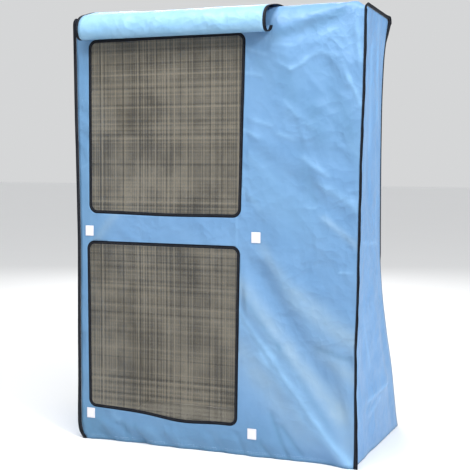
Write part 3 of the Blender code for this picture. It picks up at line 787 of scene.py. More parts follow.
def shoulder_rows(share):
    """The round between the front and the top, as rows of points, with the small folds that run over it."""
    x = front_x(share, 0.0)
    crown = table_value(SHOULDER, x, "crown")
    radius = table_value(SHOULDER, x, "radius")
    rows = []
    for turn in QUARTER_TURN[1:]:
        drop = radius - crown - radius * turn
        from_edge = np.minimum(x - EDGES[0].left, EDGES[0].right - x)
        lift = fold_height(SHOULDER_FOLDS, x, drop) * smooth_step(x, *FLAP_SEAM_END)
        lift = lift * smooth_step(from_edge, *CREASE_EDGE_HOLD)
        reach = radius + lift
        y = FRONT_Y + radius - reach * math.cos(turn)
        z = EDGE_Z + crown - radius + reach * math.sin(turn)
        rows.append(np.stack([x, y, z], axis=-1))
    return rows


def back_top_place(share):
    """Where the top ends and the back round starts."""
    x = (2.0 * share - 1.0) * EDGES[0].rear
    crown = table_value(SHOULDER, x, "crown")
    y = np.full_like(x, EDGES[0].back - EDGE_ROUND)
    return np.stack([x, y, EDGE_Z + crown], axis=-1)


def back_place(share, drop):
    """Points of the back panel's inner face."""
    half = edge(drop, "rear")
    x = (2.0 * share - 1.0) * half
    from_edge = half - np.abs(x)
    top_hold = smooth_step(drop, *BACK_TOP_HOLD)
    push = fold_height(BACK_FOLDS, x, drop) * smooth_step(from_edge, *BACK_EDGE_HOLD)
    push = push + crease_height(BACK_CREASES, x, drop) * smooth_step(from_edge, *BACK_EDGE_HOLD)
    y = edge(drop, "back") + push * top_hold
    return np.stack([x, y, np.full_like(x, EDGE_Z - drop)], axis=-1)


def wrap_rows():
    """The wrap's inner face as rows of points, from the front hem over the top to the back hem."""
    spans = [np.linspace(span.start, span.end, span.columns + 1) for span in WRAP_SPANS]
    share = np.unique(np.concatenate(spans))
    top_x = front_x(share, 0.0)
    start = table_value(SHOULDER, top_x, "radius") - table_value(SHOULDER, top_x, "crown")
    rows = []
    for drop in even_steps((HEIGHT, EDGE_ROUND), FRONT_STEP):
        here = np.full_like(share, drop)
        if drop < SHOULDER_ROOM:
            here = start + (drop - EDGE_ROUND) * (SHOULDER_ROOM - start) / (SHOULDER_ROOM - EDGE_ROUND)
        rows.append(front_place(front_x(share, here), here))
    rows += shoulder_rows(share)
    top_front, top_back = rows[-1], back_top_place(share)
    for across in np.linspace(0.0, 1.0, TOP_STEPS + 1)[1:]:
        row = top_front * (1.0 - across) + top_back * across
        from_edge = np.minimum(share, 1.0 - share) * (EDGES[0].right - EDGES[0].left)
        hold = smooth_step(from_edge, *SIDE_EDGE_HOLD) * math.sin(math.pi * across)
        row[:, 2] += crease_height(TOP_CREASES, row[:, 0], row[:, 1] - FRONT_Y) * hold
        rows.append(row)
    reach = EDGE_ROUND + top_back[:, 2] - EDGE_Z
    for turn in QUARTER_TURN[1:-1]:
        row = top_back.copy()
        row[:, 1] += EDGE_ROUND * math.sin(turn)
        row[:, 2] -= reach * (1.0 - math.cos(turn))
        rows.append(row)
    for drop in even_steps((EDGE_ROUND, HEIGHT), BACK_STEP):
        rows.append(back_place(share, np.full_like(share, drop)))
    return np.array(rows)


def side_row(sign, share, drop, cut):
    """A row of a side panel's outer face. The round corners at the top cut into both edges."""
    front_y = FRONT_Y + GAP + cut
    rear_y = float(edge(drop, "back")) - GAP - cut
    near_x = float(edge(drop, "right" if sign > 0 else "left"))
    far_x = sign * float(edge(drop, "rear"))
    y = front_y + (rear_y - front_y) * share
    x = near_x + (far_x - near_x) * share
    from_edge = np.minimum(y - front_y, rear_y - y)
    behind = y - FRONT_Y
    push = fold_height(SIDE_FOLDS, behind, drop) * smooth_step(from_edge, *SIDE_EDGE_HOLD)
    push = push + crease_height(SIDE_CREASES, behind, drop) * smooth_step(from_edge, *SIDE_CREASE_HOLD)
    x = x + sign * push * smooth_step(drop, *SIDE_TOP_HOLD)
    return np.stack([x, y, np.full_like(y, EDGE_Z - drop)], axis=-1)


def side_rows(sign):
    """A side panel's outer face as rows of points, from the hem up to its top edge."""
    levels = [(drop, 0.0) for drop in even_steps((HEIGHT, EDGE_ROUND), SIDE_STEP)]
    for turn in QUARTER_TURN[1:]:
        below = EDGE_ROUND * (1.0 - math.sin(turn)) + SIDE_TOP_GAP
        levels.append((below, EDGE_ROUND * (1.0 - math.cos(turn))))
    share = np.linspace(0.0, 1.0, SIDE_COLUMNS + 1)
    return np.array([side_row(sign, share, drop, cut) for drop, cut in levels])


def new_object(name, points, faces, finishes):
    """An object made of points and faces, shaded smooth."""
    mesh = bpy.data.meshes.new(name)
    mesh.from_pydata(points.reshape(-1, 3).tolist(), [], faces)
    for finish in finishes:
        mesh.materials.append(finish)
    mesh.shade_smooth()
    made = bpy.data.objects.new(name, mesh)
    bpy.context.scene.collection.objects.link(made)
    return made


def grid_faces(rows, columns):
    """The quads of a grid of rows and columns."""
    first = (np.arange(rows - 1)[:, None] * columns + np.arange(columns - 1)[None, :]).ravel()
    return np.stack([first, first + 1, first + columns + 1, first + columns], axis=-1).tolist()


def cloth_sheet(name, rows, offset, finishes, turned=False):
    """A sheet with its thickness on rows of points. The first finish is on its outer side."""
    faces = grid_faces(*rows.shape[:2])
    if turned:
        faces = [face[::-1] for face in faces]
    made = new_object(name, rows, faces, finishes)
    solid = made.modifiers.new("thickness", "SOLIDIFY")
    solid.thickness = CLOTH
    solid.offset = offset
    solid.use_even_offset = True
    solid.material_offset = len(finishes) - 1
    return made


def bake_shape(made):
    """Puts an object's modifiers into its mesh."""
    depsgraph = bpy.context.evaluated_depsgraph_get()
    depsgraph.update()
    mesh = bpy.data.meshes.new_from_object(made.evaluated_get(depsgraph))
    made.modifiers.clear()
    made.data = mesh
    return made


def window_outline(window, inset):
    """The rounded outline of a window, inset from the outside of its binding, as x and drop."""
    radius = window.radius - inset
    corners = [
        Vector((corner[0] + sign[0] * inset, corner[1] + sign[1] * inset))
        for corner, sign in zip(window.corners, QUADRANTS)
    ]
    outline = []
    for i, (corner, sign) in enumerate(zip(corners, QUADRANTS)):
        middle = corner + Vector(sign) * radius
        for k in range(WINDOW_CORNER_POINTS):
            turn = math.radians(180.0 + 90.0 * i + 90.0 * k / (WINDOW_CORNER_POINTS - 1))
            outline.append(middle + radius * Vector((math.cos(turn), math.sin(turn))))
        following = corners[(i + 1) % 4] + Vector(QUADRANTS[(i + 1) % 4]) * radius
        start = outline[-1]
        turn = math.radians(270.0 + 90.0 * i)
        end = following + radius * Vector((math.cos(turn), math.sin(turn)))
        side = Vector(window.corners[(i + 1) % 4]) - Vector(window.corners[i])
        count = round(side.length / WINDOW_SIDE_STEP)
        outline += [start.lerp(end, (k + 1) / count) for k in range(count - 1)]
    middle_drop = sum(corner.y for corner in corners) / 4.0
    outline = np.array([tuple(point) for point in outline])
    share = smooth_step(outline[:, 1], middle_drop, corners[2].y)
    bump = np.exp(-(((outline[:, 0] - window.sag_x) / window.sag_half_width) ** 2))
    outline[:, 1] += window.sag * share * bump
    return outline


def cut_window(wrap, window):
    """Cuts a window out of the front, with a gap around its binding."""
    outline = window_outline(window, -GAP)
    count = len(outline)
    ends = [np.column_stack([outline[:, 0], np.full(count, FRONT_Y + side), EDGE_Z - outline[:, 1]])
            for side in (-CUTTER_REACH, CUTTER_REACH)]
    faces = [(i, (i + 1) % count, (i + 1) % count + count, i + count) for i in range(count)]
    faces.append(tuple(reversed(range(count))))
    faces.append(tuple(range(count, 2 * count)))
    cutter = new_object("cutter_" + window.name, np.concatenate(ends), faces, [])
    cut = wrap.modifiers.new("window " + window.name, "BOOLEAN")
    cut.operation = "DIFFERENCE"
    cut.solver = "EXACT"
    cut.object = cutter
    return cutter


def unit(vectors):
    """Vectors made one long."""
    return vectors / np.linalg.norm(vectors, axis=-1, keepdims=True)


def along_path(points, closed):
    """The direction of a path at each of its points."""
    if closed:
        return unit(np.roll(points, -1, axis=0) - np.roll(points, 1, axis=0))
    return unit(np.gradient(points, axis=0))


def tape_faces(count, ring, closed):
    """The faces of a tape: quads along it, and a cap at each end of an open one."""
    faces = []
    for i in range(count if closed else count - 1):
        here, there = i * ring, (i + 1) % count * ring
        for k in range(ring):
            after = (k + 1) % ring
            faces.append((here + k, here + after, there + after, there + k))
    if not closed:
        faces.append(tuple(reversed(range(ring))))
        faces.append(tuple(range((count - 1) * ring, count * ring)))
    return faces


def outward(made):
    """Turns all faces of a closed object to the outside."""
    shape = bmesh.new()
    shape.from_mesh(made.data)
    bmesh.ops.recalc_face_normals(shape, faces=shape.faces)
    shape.to_mesh(made.data)
    shape.free()
    return made


def tape(name, outer, inner, finish, closed=False):
    """A folded tape between its outer and its inner edge, with rounded edges and two dips."""
    normal = unit(np.cross(inner - outer, along_path(0.5 * (outer + inner), closed)))
    half = TAPE_THICKNESS / 2.0
    loop = [(row.share, row.thick) for row in TAPE_PROFILE]
    loop += [(row.share, -row.thick) for row in reversed(TAPE_PROFILE)]
    rings = [outer + (inner - outer) * share + normal * half * thick for share, thick in loop]
    points = np.stack(rings, axis=1)
    faces = tape_faces(len(outer), len(loop), closed)
    made = new_object(name, points, faces, [finish])
    layer = made.data.attributes.new("across", "FLOAT", "POINT")
    layer.data.foreach_set("value", np.tile([share for share, _ in loop], len(outer)))
    return outward(made), normal


def lengths_along(points):
    """How far along a path each of its points lies."""
    return np.concatenate([[0.0], np.cumsum(np.linalg.norm(np.diff(points, axis=0), axis=1))])


def resample(points, step, closed=False):
    """Points about a step apart along a path, as places on it and directions."""
    if closed:
        points = np.concatenate([points, points[:1]])
    lengths = lengths_along(points)
    count = int(lengths[-1] / step)
    at = (np.arange(count) + 0.5) * lengths[-1] / count
    before, places, after = (
        np.stack([np.interp(at + shift, lengths, points[:, k]) for k in range(3)], axis=-1)
        for shift in (-step / 4.0, 0.0, step / 4.0)
    )
    return places, unit(after - before)


# A stitch's points, as shares of its length, width and rise, and the faces between them
STITCH_FORM = (
    (-0.50, 0.0, -0.6), (-0.38, -0.5, 0.0), (-0.38, 0.5, 0.0), (-0.30, 0.0, 0.8),
    (0.50, 0.0, -0.6), (0.38, -0.5, 0.0), (0.38, 0.5, 0.0), (0.30, 0.0, 0.8),
)
STITCH_FACES = (
    (0, 1, 3), (0, 3, 2), (1, 5, 7, 3), (3, 7, 6, 2), (4, 7, 5), (4, 6, 7), (0, 4, 5, 1), (0, 2, 6, 4),
)


def stitches(name, lines, finish):
    """Rows of small stitches as one object. Each line is places, directions along it and directions out."""
    points, faces = [], []
    for places, along, out in lines:
        aside = unit(np.cross(out, along))
        for place, forward, side, rise in zip(places, along, aside, out):
            first = len(points)
            for a, b, c in STITCH_FORM:
                point = place + forward * a * STITCH_LENGTH + side * b * STITCH_WIDTH
                points.append(point + rise * c * STITCH_RISE)
            faces += [tuple(first + index for index in face) for face in STITCH_FACES]
    return outward(new_object(name, np.array(points), faces, [finish]))


def tape_stitch_lines(outer, inner, normal, closed=False):
    """A row of stitches on each face of a tape."""
    thick = dict(TAPE_PROFILE)[TAPE_STITCH_SHARE]
    lines = []
    for face in (1.0, -1.0):
        path = outer + (inner - outer) * TAPE_STITCH_SHARE + normal * face * TAPE_THICKNESS / 2.0 * thick
        places, along = resample(path, STITCH_PITCH, closed)
        nearest = [int(np.argmin(((path - place) ** 2).sum(axis=1))) for place in places]
        lines.append((places, along, normal[nearest] * face))
    return lines


def sheet_middle(outline):
    """Points in the middle of the front cloth's thickness."""
    return front_place(outline[:, 0], outline[:, 1]) - np.array([0.0, CLOTH / 2.0, 0.0])


def flap_line():
    """The flap's path, smoothed through its rows, as distances along it and points (forward, height)."""
    knots = np.array([tuple(row) for row in FLAP_PATH])
    knots = np.concatenate([[2.0 * knots[0] - knots[1]], knots, [2.0 * knots[-1] - knots[-2]]])
    line = []
    for before, low, high, after in zip(knots, knots[1:], knots[2:], knots[3:]):
        bend_low = 2.0 * before - 5.0 * low + 4.0 * high - after
        bend_high = 3.0 * low - before - 3.0 * high + after
        for k in range(PATH_POINTS):
            t = k / PATH_POINTS
            line.append(low + 0.5 * ((high - before) * t + bend_low * t**2 + bend_high * t**3))
    line = np.array(line)
    along = lengths_along(line)
    return along, line


def flap_stations():
    """Distances along the flap, from its seam to the binding of its free end."""
    stations = [0.0]
    for up_to, step in FLAP_STEPS:
        start = stations[-1]
        count = round((up_to - start) / step)
        stations += [start + (up_to - start) * (i + 1) / count for i in range(count)]
    return np.array(stations)


def flap_place(line, x, distance):
    """Points in the middle of the flap's thickness."""
    x, distance = np.broadcast_arrays(np.asarray(x, dtype=float), np.asarray(distance, dtype=float))
    along, points = line
    forward = np.interp(distance, along, points[:, 0])
    height = np.interp(distance, along, points[:, 1])
    after, before = distance + FLAP_SLOPE_STEP, distance - FLAP_SLOPE_STEP
    ahead = np.interp(after, along, points[:, 0]) - np.interp(before, along, points[:, 0])
    rise = np.interp(after, along, points[:, 1]) - np.interp(before, along, points[:, 1])
    size = np.hypot(ahead, rise)
    end = np.exp(-(((x - FLAP_LEFT) / FLAP_END_REACH) ** 2))
    height = height + FLAP_END_LIFT * end * np.exp(-(((distance - FLAP_LIFT_AT) / FLAP_LIFT_REACH) ** 2))
    wave = 1.0 + np.sin(math.tau * (x - FLAP_LEFT) / FLAP_WAVE_LENGTH)
    wave = wave + FLAP_SMALL_WAVE * np.sin(math.tau * x / FLAP_SMALL_WAVE_LENGTH)
    sway = FLAP_WAVE * wave * smooth_step(distance, *FLAP_HANGS)
    from_edge = np.minimum(x - FLAP_LEFT, FLAP_RIGHT - x)
    crease = crease_height(FLAP_CREASES, x, distance) * smooth_step(from_edge, *FLAP_CREASE_HOLD)
    crease = crease * smooth_step(distance, *FLAP_SEAM_HOLD)
    forward = forward + crease * rise / size
    height = height - crease * ahead / size
    return np.stack([x, FRONT_Y - forward + sway, EDGE_Z + height], axis=-1)


def flap_cloth(line, finishes):
    """The flap's cloth, inside its binding."""
    left, right = FLAP_LEFT + TAPE_WIDTH + GAP, FLAP_RIGHT - TAPE_WIDTH - GAP
    columns = even_steps((left, right), FLAP_COLUMN_STEP)
    stations = flap_stations()
    stations[-1] -= GAP
    rows = flap_place(line, columns[None, :], stations[:, None])
    return cloth_sheet("flap_cloth", rows, 0.0, finishes)


def flap_tape_edges(line):
    """The flap tape's outer and inner edge: down the left edge, along the end and up the right edge."""
    stations = flap_stations()
    left, right = FLAP_LEFT + TAPE_WIDTH, FLAP_RIGHT - TAPE_WIDTH
    end_columns = even_steps((left, right), FLAP_COLUMN_STEP)
    last = FLAP_LENGTH - TAPE_WIDTH
    pairs = [((FLAP_LEFT, d), (left, d)) for d in stations]
    pairs.append(((FLAP_LEFT, FLAP_LENGTH), (left, last)))
    pairs += [((x, FLAP_LENGTH), (x, last)) for x in end_columns]
    pairs.append(((FLAP_RIGHT, FLAP_LENGTH), (right, last)))
    pairs += [((FLAP_RIGHT, d), (right, d)) for d in stations[::-1]]
    return [flap_place(line, *side.T) for side in np.array(pairs).transpose(1, 0, 2)]


def seam_line(sign):
    """One side's corner line: places, directions out of the panel, tape angles, the rear corner's index."""
    found = []
    for drop in even_steps((HEIGHT, EDGE_ROUND), TAPE_STEP):
        x = float(edge(drop, "right" if sign > 0 else "left"))
        angle = float(table_value(FRONT_TAPE_ANGLES, drop, "angle"))
        found.append(((x, FRONT_Y - CLOTH, EDGE_Z - drop), (0.0, -1.0, 0.0), angle))
    top_x = EDGES[0].right if sign > 0 else EDGES[0].left
    outer = EDGE_ROUND + CLOTH
    for turn in QUARTER_TURN[1:]:
        out = (0.0, -math.cos(turn), math.sin(turn))
        y = FRONT_Y + EDGE_ROUND + outer * out[1]
        found.append(((top_x, y, EDGE_Z - EDGE_ROUND + outer * out[2]), out, TOP_TAPE_ANGLE))
    back_middle = np.array([sign * EDGES[0].rear, EDGES[0].back - EDGE_ROUND, EDGE_Z - EDGE_ROUND])
    front_end = np.array(found[-1][0])
    back_start = back_middle + np.array([0.0, 0.0, outer])
    for across in np.linspace(0.0, 1.0, TOP_STEPS + 1)[1:-1]:
        place = front_end + (back_start - front_end) * across
        found.append((tuple(place), (0.0, 0.0, 1.0), TOP_TAPE_ANGLE))
    for turn in QUARTER_TURN[:-1]:
        out = np.array([0.0, math.sin(turn), math.cos(turn)])
        found.append((tuple(back_middle + outer * out), tuple(out), TOP_TAPE_ANGLE))
    corner = len(found) - ROUND_STEPS // 2
    for drop in even_steps((EDGE_ROUND, HEIGHT), TAPE_STEP):
        low, high = max(drop - CLOTH, 0.0), min(drop + CLOTH, HEIGHT)
        fall = float(edge(high, "back") - edge(low, "back"))
        out = unit(np.array([0.0, 1.0, fall / (high - low)]))
        x = sign * float(edge(drop, "rear"))
        rear = np.array([x, float(edge(drop, "back")), EDGE_Z - drop])
        angle = float(table_value(BACK_TAPE_ANGLES, drop, "angle"))
        found.append((tuple(rear + CLOTH * out / out[1]), tuple(out), angle))
    places, outs, angles = (np.array([row[k] for row in found]) for k in range(3))
    return places, outs, angles, corner


def seam_tape_edges(sign):
    """The outer and the inner edge of one side's tape."""
    places, outs, angles, corner = seam_line(sign)
    lengths = lengths_along(places)
    waver = np.sin(math.tau * lengths / TAPE_WAVER_LENGTHS[0] + sign)
    waver += TAPE_SMALL_WAVER * np.sin(math.tau * lengths / TAPE_WAVER_LENGTHS[1])
    standing = smooth_step(angles, *TAPE_STANDS)
    turn = np.radians(angles + TAPE_WAVER * waver * standing)
    aside = np.array([float(sign), 0.0, 0.0])
    stand = np.cos(turn)[:, None] * outs + np.sin(turn)[:, None] * aside
    extra = KNUCKLE_EXTRA * np.exp(-(((lengths - lengths[corner]) / KNUCKLE_REACH) ** 2))
    extra = extra + HEM_SPREAD * (1.0 - smooth_step(lengths, 0.0, HEM_SPREAD_REACH))
    lift = GAP - np.minimum(np.sin(turn), 0.0) * TAPE_THICKNESS / 2.0
    bend = np.exp(-(((EDGE_Z - places[:, 2] - BEND_DROP) / BEND_REACH) ** 2))
    lift = lift + BEND_LIFT * bend
    inner = np.where((turn > 0.0)[:, None], places + GAP * stand, places + lift[:, None] * outs)
    return inner + (TAPE_WIDTH * (1.0 + extra))[:, None] * stand, inner


def window_net(window, finish):
    """The fine net inside a window's binding: rings that close in on its middle, and sag inwards a little."""
    outline = window_outline(window, TAPE_WIDTH + GAP)
    middle = outline.mean(axis=0)
    count = len(outline)
    shares = np.linspace(1.0, 0.0, NET_RINGS + 1)[:-1]
    flat = np.concatenate([middle + (outline - middle) * share for share in shares] + [middle[None, :]])
    depth = np.concatenate([np.full(count, 1.0 - share**2) for share in shares] + [np.ones(1)])
    points = sheet_middle(flat)
    points[:, 1] += NET_BELLY * depth
    faces = []
    for ring in range(len(shares) - 1):
        for i in range(count):
            first, following = ring * count + i, ring * count + (i + 1) % count
            faces.append((first, following, following + count, first + count))
    last = (len(shares) - 1) * count
    faces += [(last + i, last + (i + 1) % count, len(points) - 1) for i in range(count)]
    return new_object("window_net_" + window.name, points, faces, [finish])


def fastener_square(name, place, finish):
    """A small square of hook-and-loop tape with rounded corners and a lower edge all round."""
    back_y = FRONT_Y - (CLOTH + TAPE_THICKNESS) / 2.0 - GAP
    levels = (
        (0.0, 0.0),
        (0.0, FASTENER_THICKNESS * FASTENER_EDGE_SHARE),
        (FASTENER_EDGE, FASTENER_THICKNESS),
        (FASTENER_EDGE * 2.0, FASTENER_THICKNESS),
    )
    rings = []
    for inset, rise in levels:
        ring = []
        radius = FASTENER_CORNER
        for i, (side_x, side_z) in enumerate(QUADRANTS):
            middle_x = side_x * (FASTENER_WIDTH / 2.0 - inset - radius)
            middle_z = side_z * (FASTENER_HEIGHT / 2.0 - inset - radius)
            for k in range(FASTENER_CORNER_POINTS):
                turn = math.radians(90.0 * i + 90.0 * k / (FASTENER_CORNER_POINTS - 1))
                x = place[0] + middle_x + radius * math.cos(turn)
                z = EDGE_Z - place[1] + middle_z + radius * math.sin(turn)
                ring.append((x, back_y - rise, z))
        rings.append(ring)
    points = np.array(rings)
    faces = tape_faces(len(rings), len(rings[0]), False)
    return outward(new_object("fastener_square_" + name, points, faces, [finish]))


def fastener_stitch_line(place):
    """The stitches round a fastener square, a little inside its edge."""
    front_y = FRONT_Y - (CLOTH + TAPE_THICKNESS) / 2.0 - GAP - FASTENER_THICKNESS
    half_w = FASTENER_WIDTH / 2.0 - FASTENER_STITCH_INSET
    half_h = FASTENER_HEIGHT / 2.0 - FASTENER_STITCH_INSET
    corners = ((-half_w, half_h), (half_w, half_h), (half_w, -half_h), (-half_w, -half_h))
    loop = np.array([(place[0] + x, front_y, EDGE_Z - place[1] + z) for x, z in corners])
    places, along = resample(loop, FASTENER_STITCH_PITCH, closed=True)
    return places, along, np.tile([0.0, -1.0, 0.0], (len(places), 1))


def hem_stitch_lines():
    """The two stitch rows above the hem, along the front, the back and both sides."""
    lines = []
    for drop in HEM_STITCH_DROPS:
        share = np.linspace(HEM_STITCH_END, 1.0 - HEM_STITCH_END, HEM_STITCH_POINTS)
        level = np.full_like(share, drop)
        runs = [
            (front_place(front_x(share, level), level) - (0.0, CLOTH, 0.0), (0.0, -1.0, 0.0)),
            (back_place(share[::-1], level) + (0.0, CLOTH, 0.0), (0.0, 1.0, 0.0)),
            (side_row(1, share, drop, 0.0), (1.0, 0.0, 0.0)),
            (side_row(-1, share[::-1], drop, 0.0), (-1.0, 0.0, 0.0)),
        ]
        for path, out in runs:
            places, along = resample(path, STITCH_PITCH)
            lines.append((places, along, np.tile(out, (len(places), 1))))
    return lines


class Nodes:
    """A material with short ways to add nodes to it."""

    def __init__(self, name):
        self.finish = bpy.data.materials.new(name)
        self.finish.use_nodes = True
        self.tree = self.finish.node_tree
        self.shader = self.tree.nodes["Principled BSDF"]

    def put(self, node, values):
        """Sets a node's inputs to numbers, or links them to other nodes."""
        for key, value in values.items():
            if isinstance(value, bpy.types.NodeSocket):
                self.tree.links.new(value, node.inputs[key])
            else:
                node.inputs[key].default_value = value

    def add(self, kind, values=None, **settings):
        """A new node."""
        node = self.tree.nodes.new("ShaderNode" + kind)
        for key, value in settings.items():
            setattr(node, key, value)
        self.put(node, values or {})
        return node

    def maths(self, operation, *values):
        """The outcome of a sum."""
        return self.add("Math", dict(enumerate(values)), operation=operation).outputs[0]

    def noise(self, row, place, output="Fac"):
        """Soft noise."""
        values = {"Vector": place, "Scale": row.scale, "Detail": row.detail, "Roughness": row.roughness}
        return self.add("TexNoise", values).outputs[output]

    def mixed(self, share, first, second):
        """Two colours mixed by a share."""
        values = {0: share}
        for key, colour in ((6, first), (7, second)):
            linked = isinstance(colour, bpy.types.NodeSocket)
            values[key] = colour if linked else (*colour, 1.0)
        return self.add("Mix", values, data_type="RGBA").outputs[2]

    def spread(self, value, low, high, to_low=0.0, to_high=1.0):
        """A value moved from one range to another, and held inside it."""
        values = {"Value": value, "From Min": low, "From Max": high, "To Min": to_low, "To Max": to_high}
        return self.add("MapRange", values).outputs[0]

    def bump(self, height, distance=1.0, strength=1.0, **normal):
        """The shading of a relief."""
        values = {"Height": height, "Distance": distance, "Strength": strength, **normal}
        return self.add("Bump", values).outputs[0]

    def done(self, values):
        """The material, with its shader's inputs set."""
        self.put(self.shader, values)
        return self.finish


def weave(nodes, pitch, across, down):
    """A plain weave from 0 to 1: threads over and under each other, from two coordinates in metres."""
    turns = [nodes.maths("MULTIPLY", way, math.tau / pitch) for way in (across, down)]
    waves = [nodes.maths("SINE", turn) for turn in turns]
    return nodes.maths("MULTIPLY_ADD", nodes.maths("MULTIPLY", *waves), 0.5, 0.5)


def cloth_coordinates(nodes, sideways=False):
    """A place, and two coordinates in the cloth, in metres: across it, and down it over the rounds."""
    place = nodes.add("TexCoord").outputs["Object"]
    parts = nodes.add("SeparateXYZ", {"Vector": place}).outputs
    if sideways:
        return place, parts["Y"], parts["Z"]
    return place, parts["X"], nodes.maths("SUBTRACT", parts["Y"], parts["Z"])


def tinted(colour, shares):
    """A colour times its shares."""
    return tuple(value * share for value, share in zip(colour, shares))


def crumple(nodes, place):
    """The crumple's height in metres: bent dents in two sizes and slanting creases, calmer in places."""
    bend = nodes.noise(DENT_BENDS, place, "Color")
    centred = nodes.add("VectorMath", {0: bend, 1: (0.5, 0.5, 0.5)}, operation="SUBTRACT").outputs[0]
    values = {0: centred, 1: (DENT_BEND,) * 3, 2: place}
    pushed = nodes.add("VectorMath", values, operation="MULTIPLY_ADD").outputs[0]
    height = nodes.maths("MULTIPLY", nodes.noise(FINE_CRUMPLE, place), FINE_DEPTH)
    for row in DENTS:
        dents = nodes.add("TexVoronoi", {"Vector": pushed, "Scale": row.scale, "Randomness": 1.0})
        height = nodes.maths("MULTIPLY_ADD", dents.outputs["Distance"], row.depth, height)
    for row in SLANTS:
        turn = (0.0, math.radians(row.slant), 0.0)
        values = {"Vector": place, "Rotation": turn, "Scale": (row.stretch, 1.0, 1.0)}
        turned = nodes.add("Mapping", values, vector_type="TEXTURE").outputs[0]
        wander = nodes.noise(NoiseRow(row.scale, *SLANT_WANDER), turned)
        ridge = nodes.maths("ABSOLUTE", nodes.maths("SUBTRACT", wander, 0.5))
        height = nodes.maths("MULTIPLY_ADD", ridge, -row.depth, height)
    return nodes.maths("MULTIPLY", height, nodes.spread(nodes.noise(CALM, place), *CALM_SPREAD))


def coated_cloth(name, colour, sideways=False, coat=CLOTH_COAT):
    """Blue woven cloth with a smooth coating: weave, crumple, soft sheen, and streaks of painted highlight,
    painted reflection and painted shade.
    """
    nodes = Nodes(name)
    place, across, down = cloth_coordinates(nodes, sideways)
    thread = weave(nodes, WEAVE_PITCH, across, down)
    patchy = nodes.noise(CLOTH_PATCHES, place)
    both = nodes.maths("ADD", nodes.noise(CLOTH_CLOUDS, place), patchy)
    deep = tinted(colour, CLOTH_DEEP)
    shade = nodes.mixed(nodes.spread(both, *CLOTH_MOTTLE), colour, deep)
    # Painted light: red is painted reflection, green painted highlight and blue painted shade, broken up by
    # noise
    painted = nodes.add("Attribute", attribute_name="paint_light_and_shade").outputs["Color"]
    painted_tones = nodes.add("SeparateColor", {"Color": painted}).outputs
    broken = nodes.spread(patchy, *PAINT_BREAKS)
    for tone, shares in (("Red", CLOTH_PAINTED_REFLECTION), ("Green", CLOTH_PAINTED_HIGHLIGHT)):
        shade = nodes.mixed(nodes.maths("MULTIPLY", painted_tones[tone], broken), shade, tinted(colour, shares))
    shade = nodes.mixed(painted_tones["Blue"], shade, tinted(colour, CLOTH_PAINTED_SHADE))
    dented = nodes.bump(crumple(nodes, place))
    return nodes.done({
        "Base Color": nodes.mixed(nodes.spread(thread, 0.0, 1.0, 0.0, WEAVE_SHADE), shade, deep),
        "Roughness": nodes.spread(patchy, *CLOTH_ROUGH),
        "Normal": nodes.bump(thread, WEAVE_DEPTH, Normal=dented),
        "Coat Weight": coat,
        **CLOTH_GLOSS,
    })


def folded_tape(name, sideways=False):
    """Near-black woven tape with a navy cast, random wear and a painted highlight line along its middle."""
    nodes = Nodes(name)
    place, across, down = cloth_coordinates(nodes, sideways)
    thread = weave(nodes, TAPE_WEAVE_PITCH, across, down)
    cloudy = nodes.noise(TAPE_CLOUDS, place)
    shade = nodes.mixed(nodes.spread(cloudy, *TAPE_WEAR), TAPE_DARK, TAPE_WORN)
    shade = nodes.mixed(thread, shade, TAPE_DARK)
    # A painted highlight line along the tape's middle
    share = nodes.add("Attribute", attribute_name="across").outputs["Fac"]
    away = nodes.maths("ABSOLUTE", nodes.maths("SUBTRACT", share, TAPE_HIGHLIGHT_AT))
    line = nodes.spread(away, TAPE_HIGHLIGHT_HALF / 2.0, TAPE_HIGHLIGHT_HALF, 1.0, 0.0)
    return nodes.done({
        "Base Color": nodes.mixed(nodes.maths("MULTIPLY", line, cloudy), shade, TAPE_PAINTED_HIGHLIGHT),
        "Roughness": nodes.spread(cloudy, 0.0, 1.0, *TAPE_ROUGH),
        "Normal": nodes.bump(thread, TAPE_WEAVE_DEPTH, TAPE_WEAVE_STRENGTH),
        **TAPE_GLOSS,
    })


def see_through_net(name):
    """Fine dark net: round threads on a square grid, with open gaps between them."""
    nodes = Nodes(name)
    place = nodes.add("TexCoord").outputs["Object"]
    parts = nodes.add("SeparateXYZ", {"Vector": place}).outputs
    threads = []
    for axis in ("X", "Z"):
        wave = nodes.maths("SINE", nodes.maths("MULTIPLY", parts[axis], math.pi / NET_PITCH))
        threads.append(nodes.maths("ABSOLUTE", wave))
    solid = nodes.spread(nodes.maths("MINIMUM", *threads), *NET_THREAD, 1.0, 0.0)
    uneven = nodes.noise(NET_CLOUDS, place)
    for row in NET_UNEVEN:
        values = {"W": parts[row.axis], "Scale": row.scale, "Detail": row.detail, "Roughness": row.roughness}
        tone = nodes.add("TexNoise", values, noise_dimensions="1D").outputs["Fac"]
        uneven = nodes.maths("MULTIPLY_ADD", tone, row.weight, uneven)
    return nodes.done({
        "Base Color": nodes.mixed(nodes.spread(uneven, *NET_UNEVEN_SPREAD), NET_DARK, NET_PALE),
        "Normal": nodes.bump(solid, NET_RELIEF, NET_RELIEF_STRENGTH),
        "Alpha": solid,
        "Roughness": NET_ROUGH,
    })


def hook_and_loop(name):
    """White hook-and-loop tape: fine loops in rows, with a faint violet painted shade in its hollows."""
    nodes = Nodes(name)
    place = nodes.add("TexCoord").outputs["Object"]
    values = {"Vector": place, "Scale": LOOP_SCALE, "Randomness": LOOP_RANDOM}
    loops = nodes.add("TexVoronoi", values).outputs["Distance"]
    height = nodes.maths("ADD", loops, nodes.noise(LOOP_TUFTS, place))
    return nodes.done({
        "Base Color": nodes.mixed(loops, LOOP_WHITE, LOOP_HOLLOW_PAINTED_SHADE),
        "Normal": nodes.bump(height, LOOP_DEPTH, LOOP_STRENGTH),
        **LOOP_GLOSS,
    })


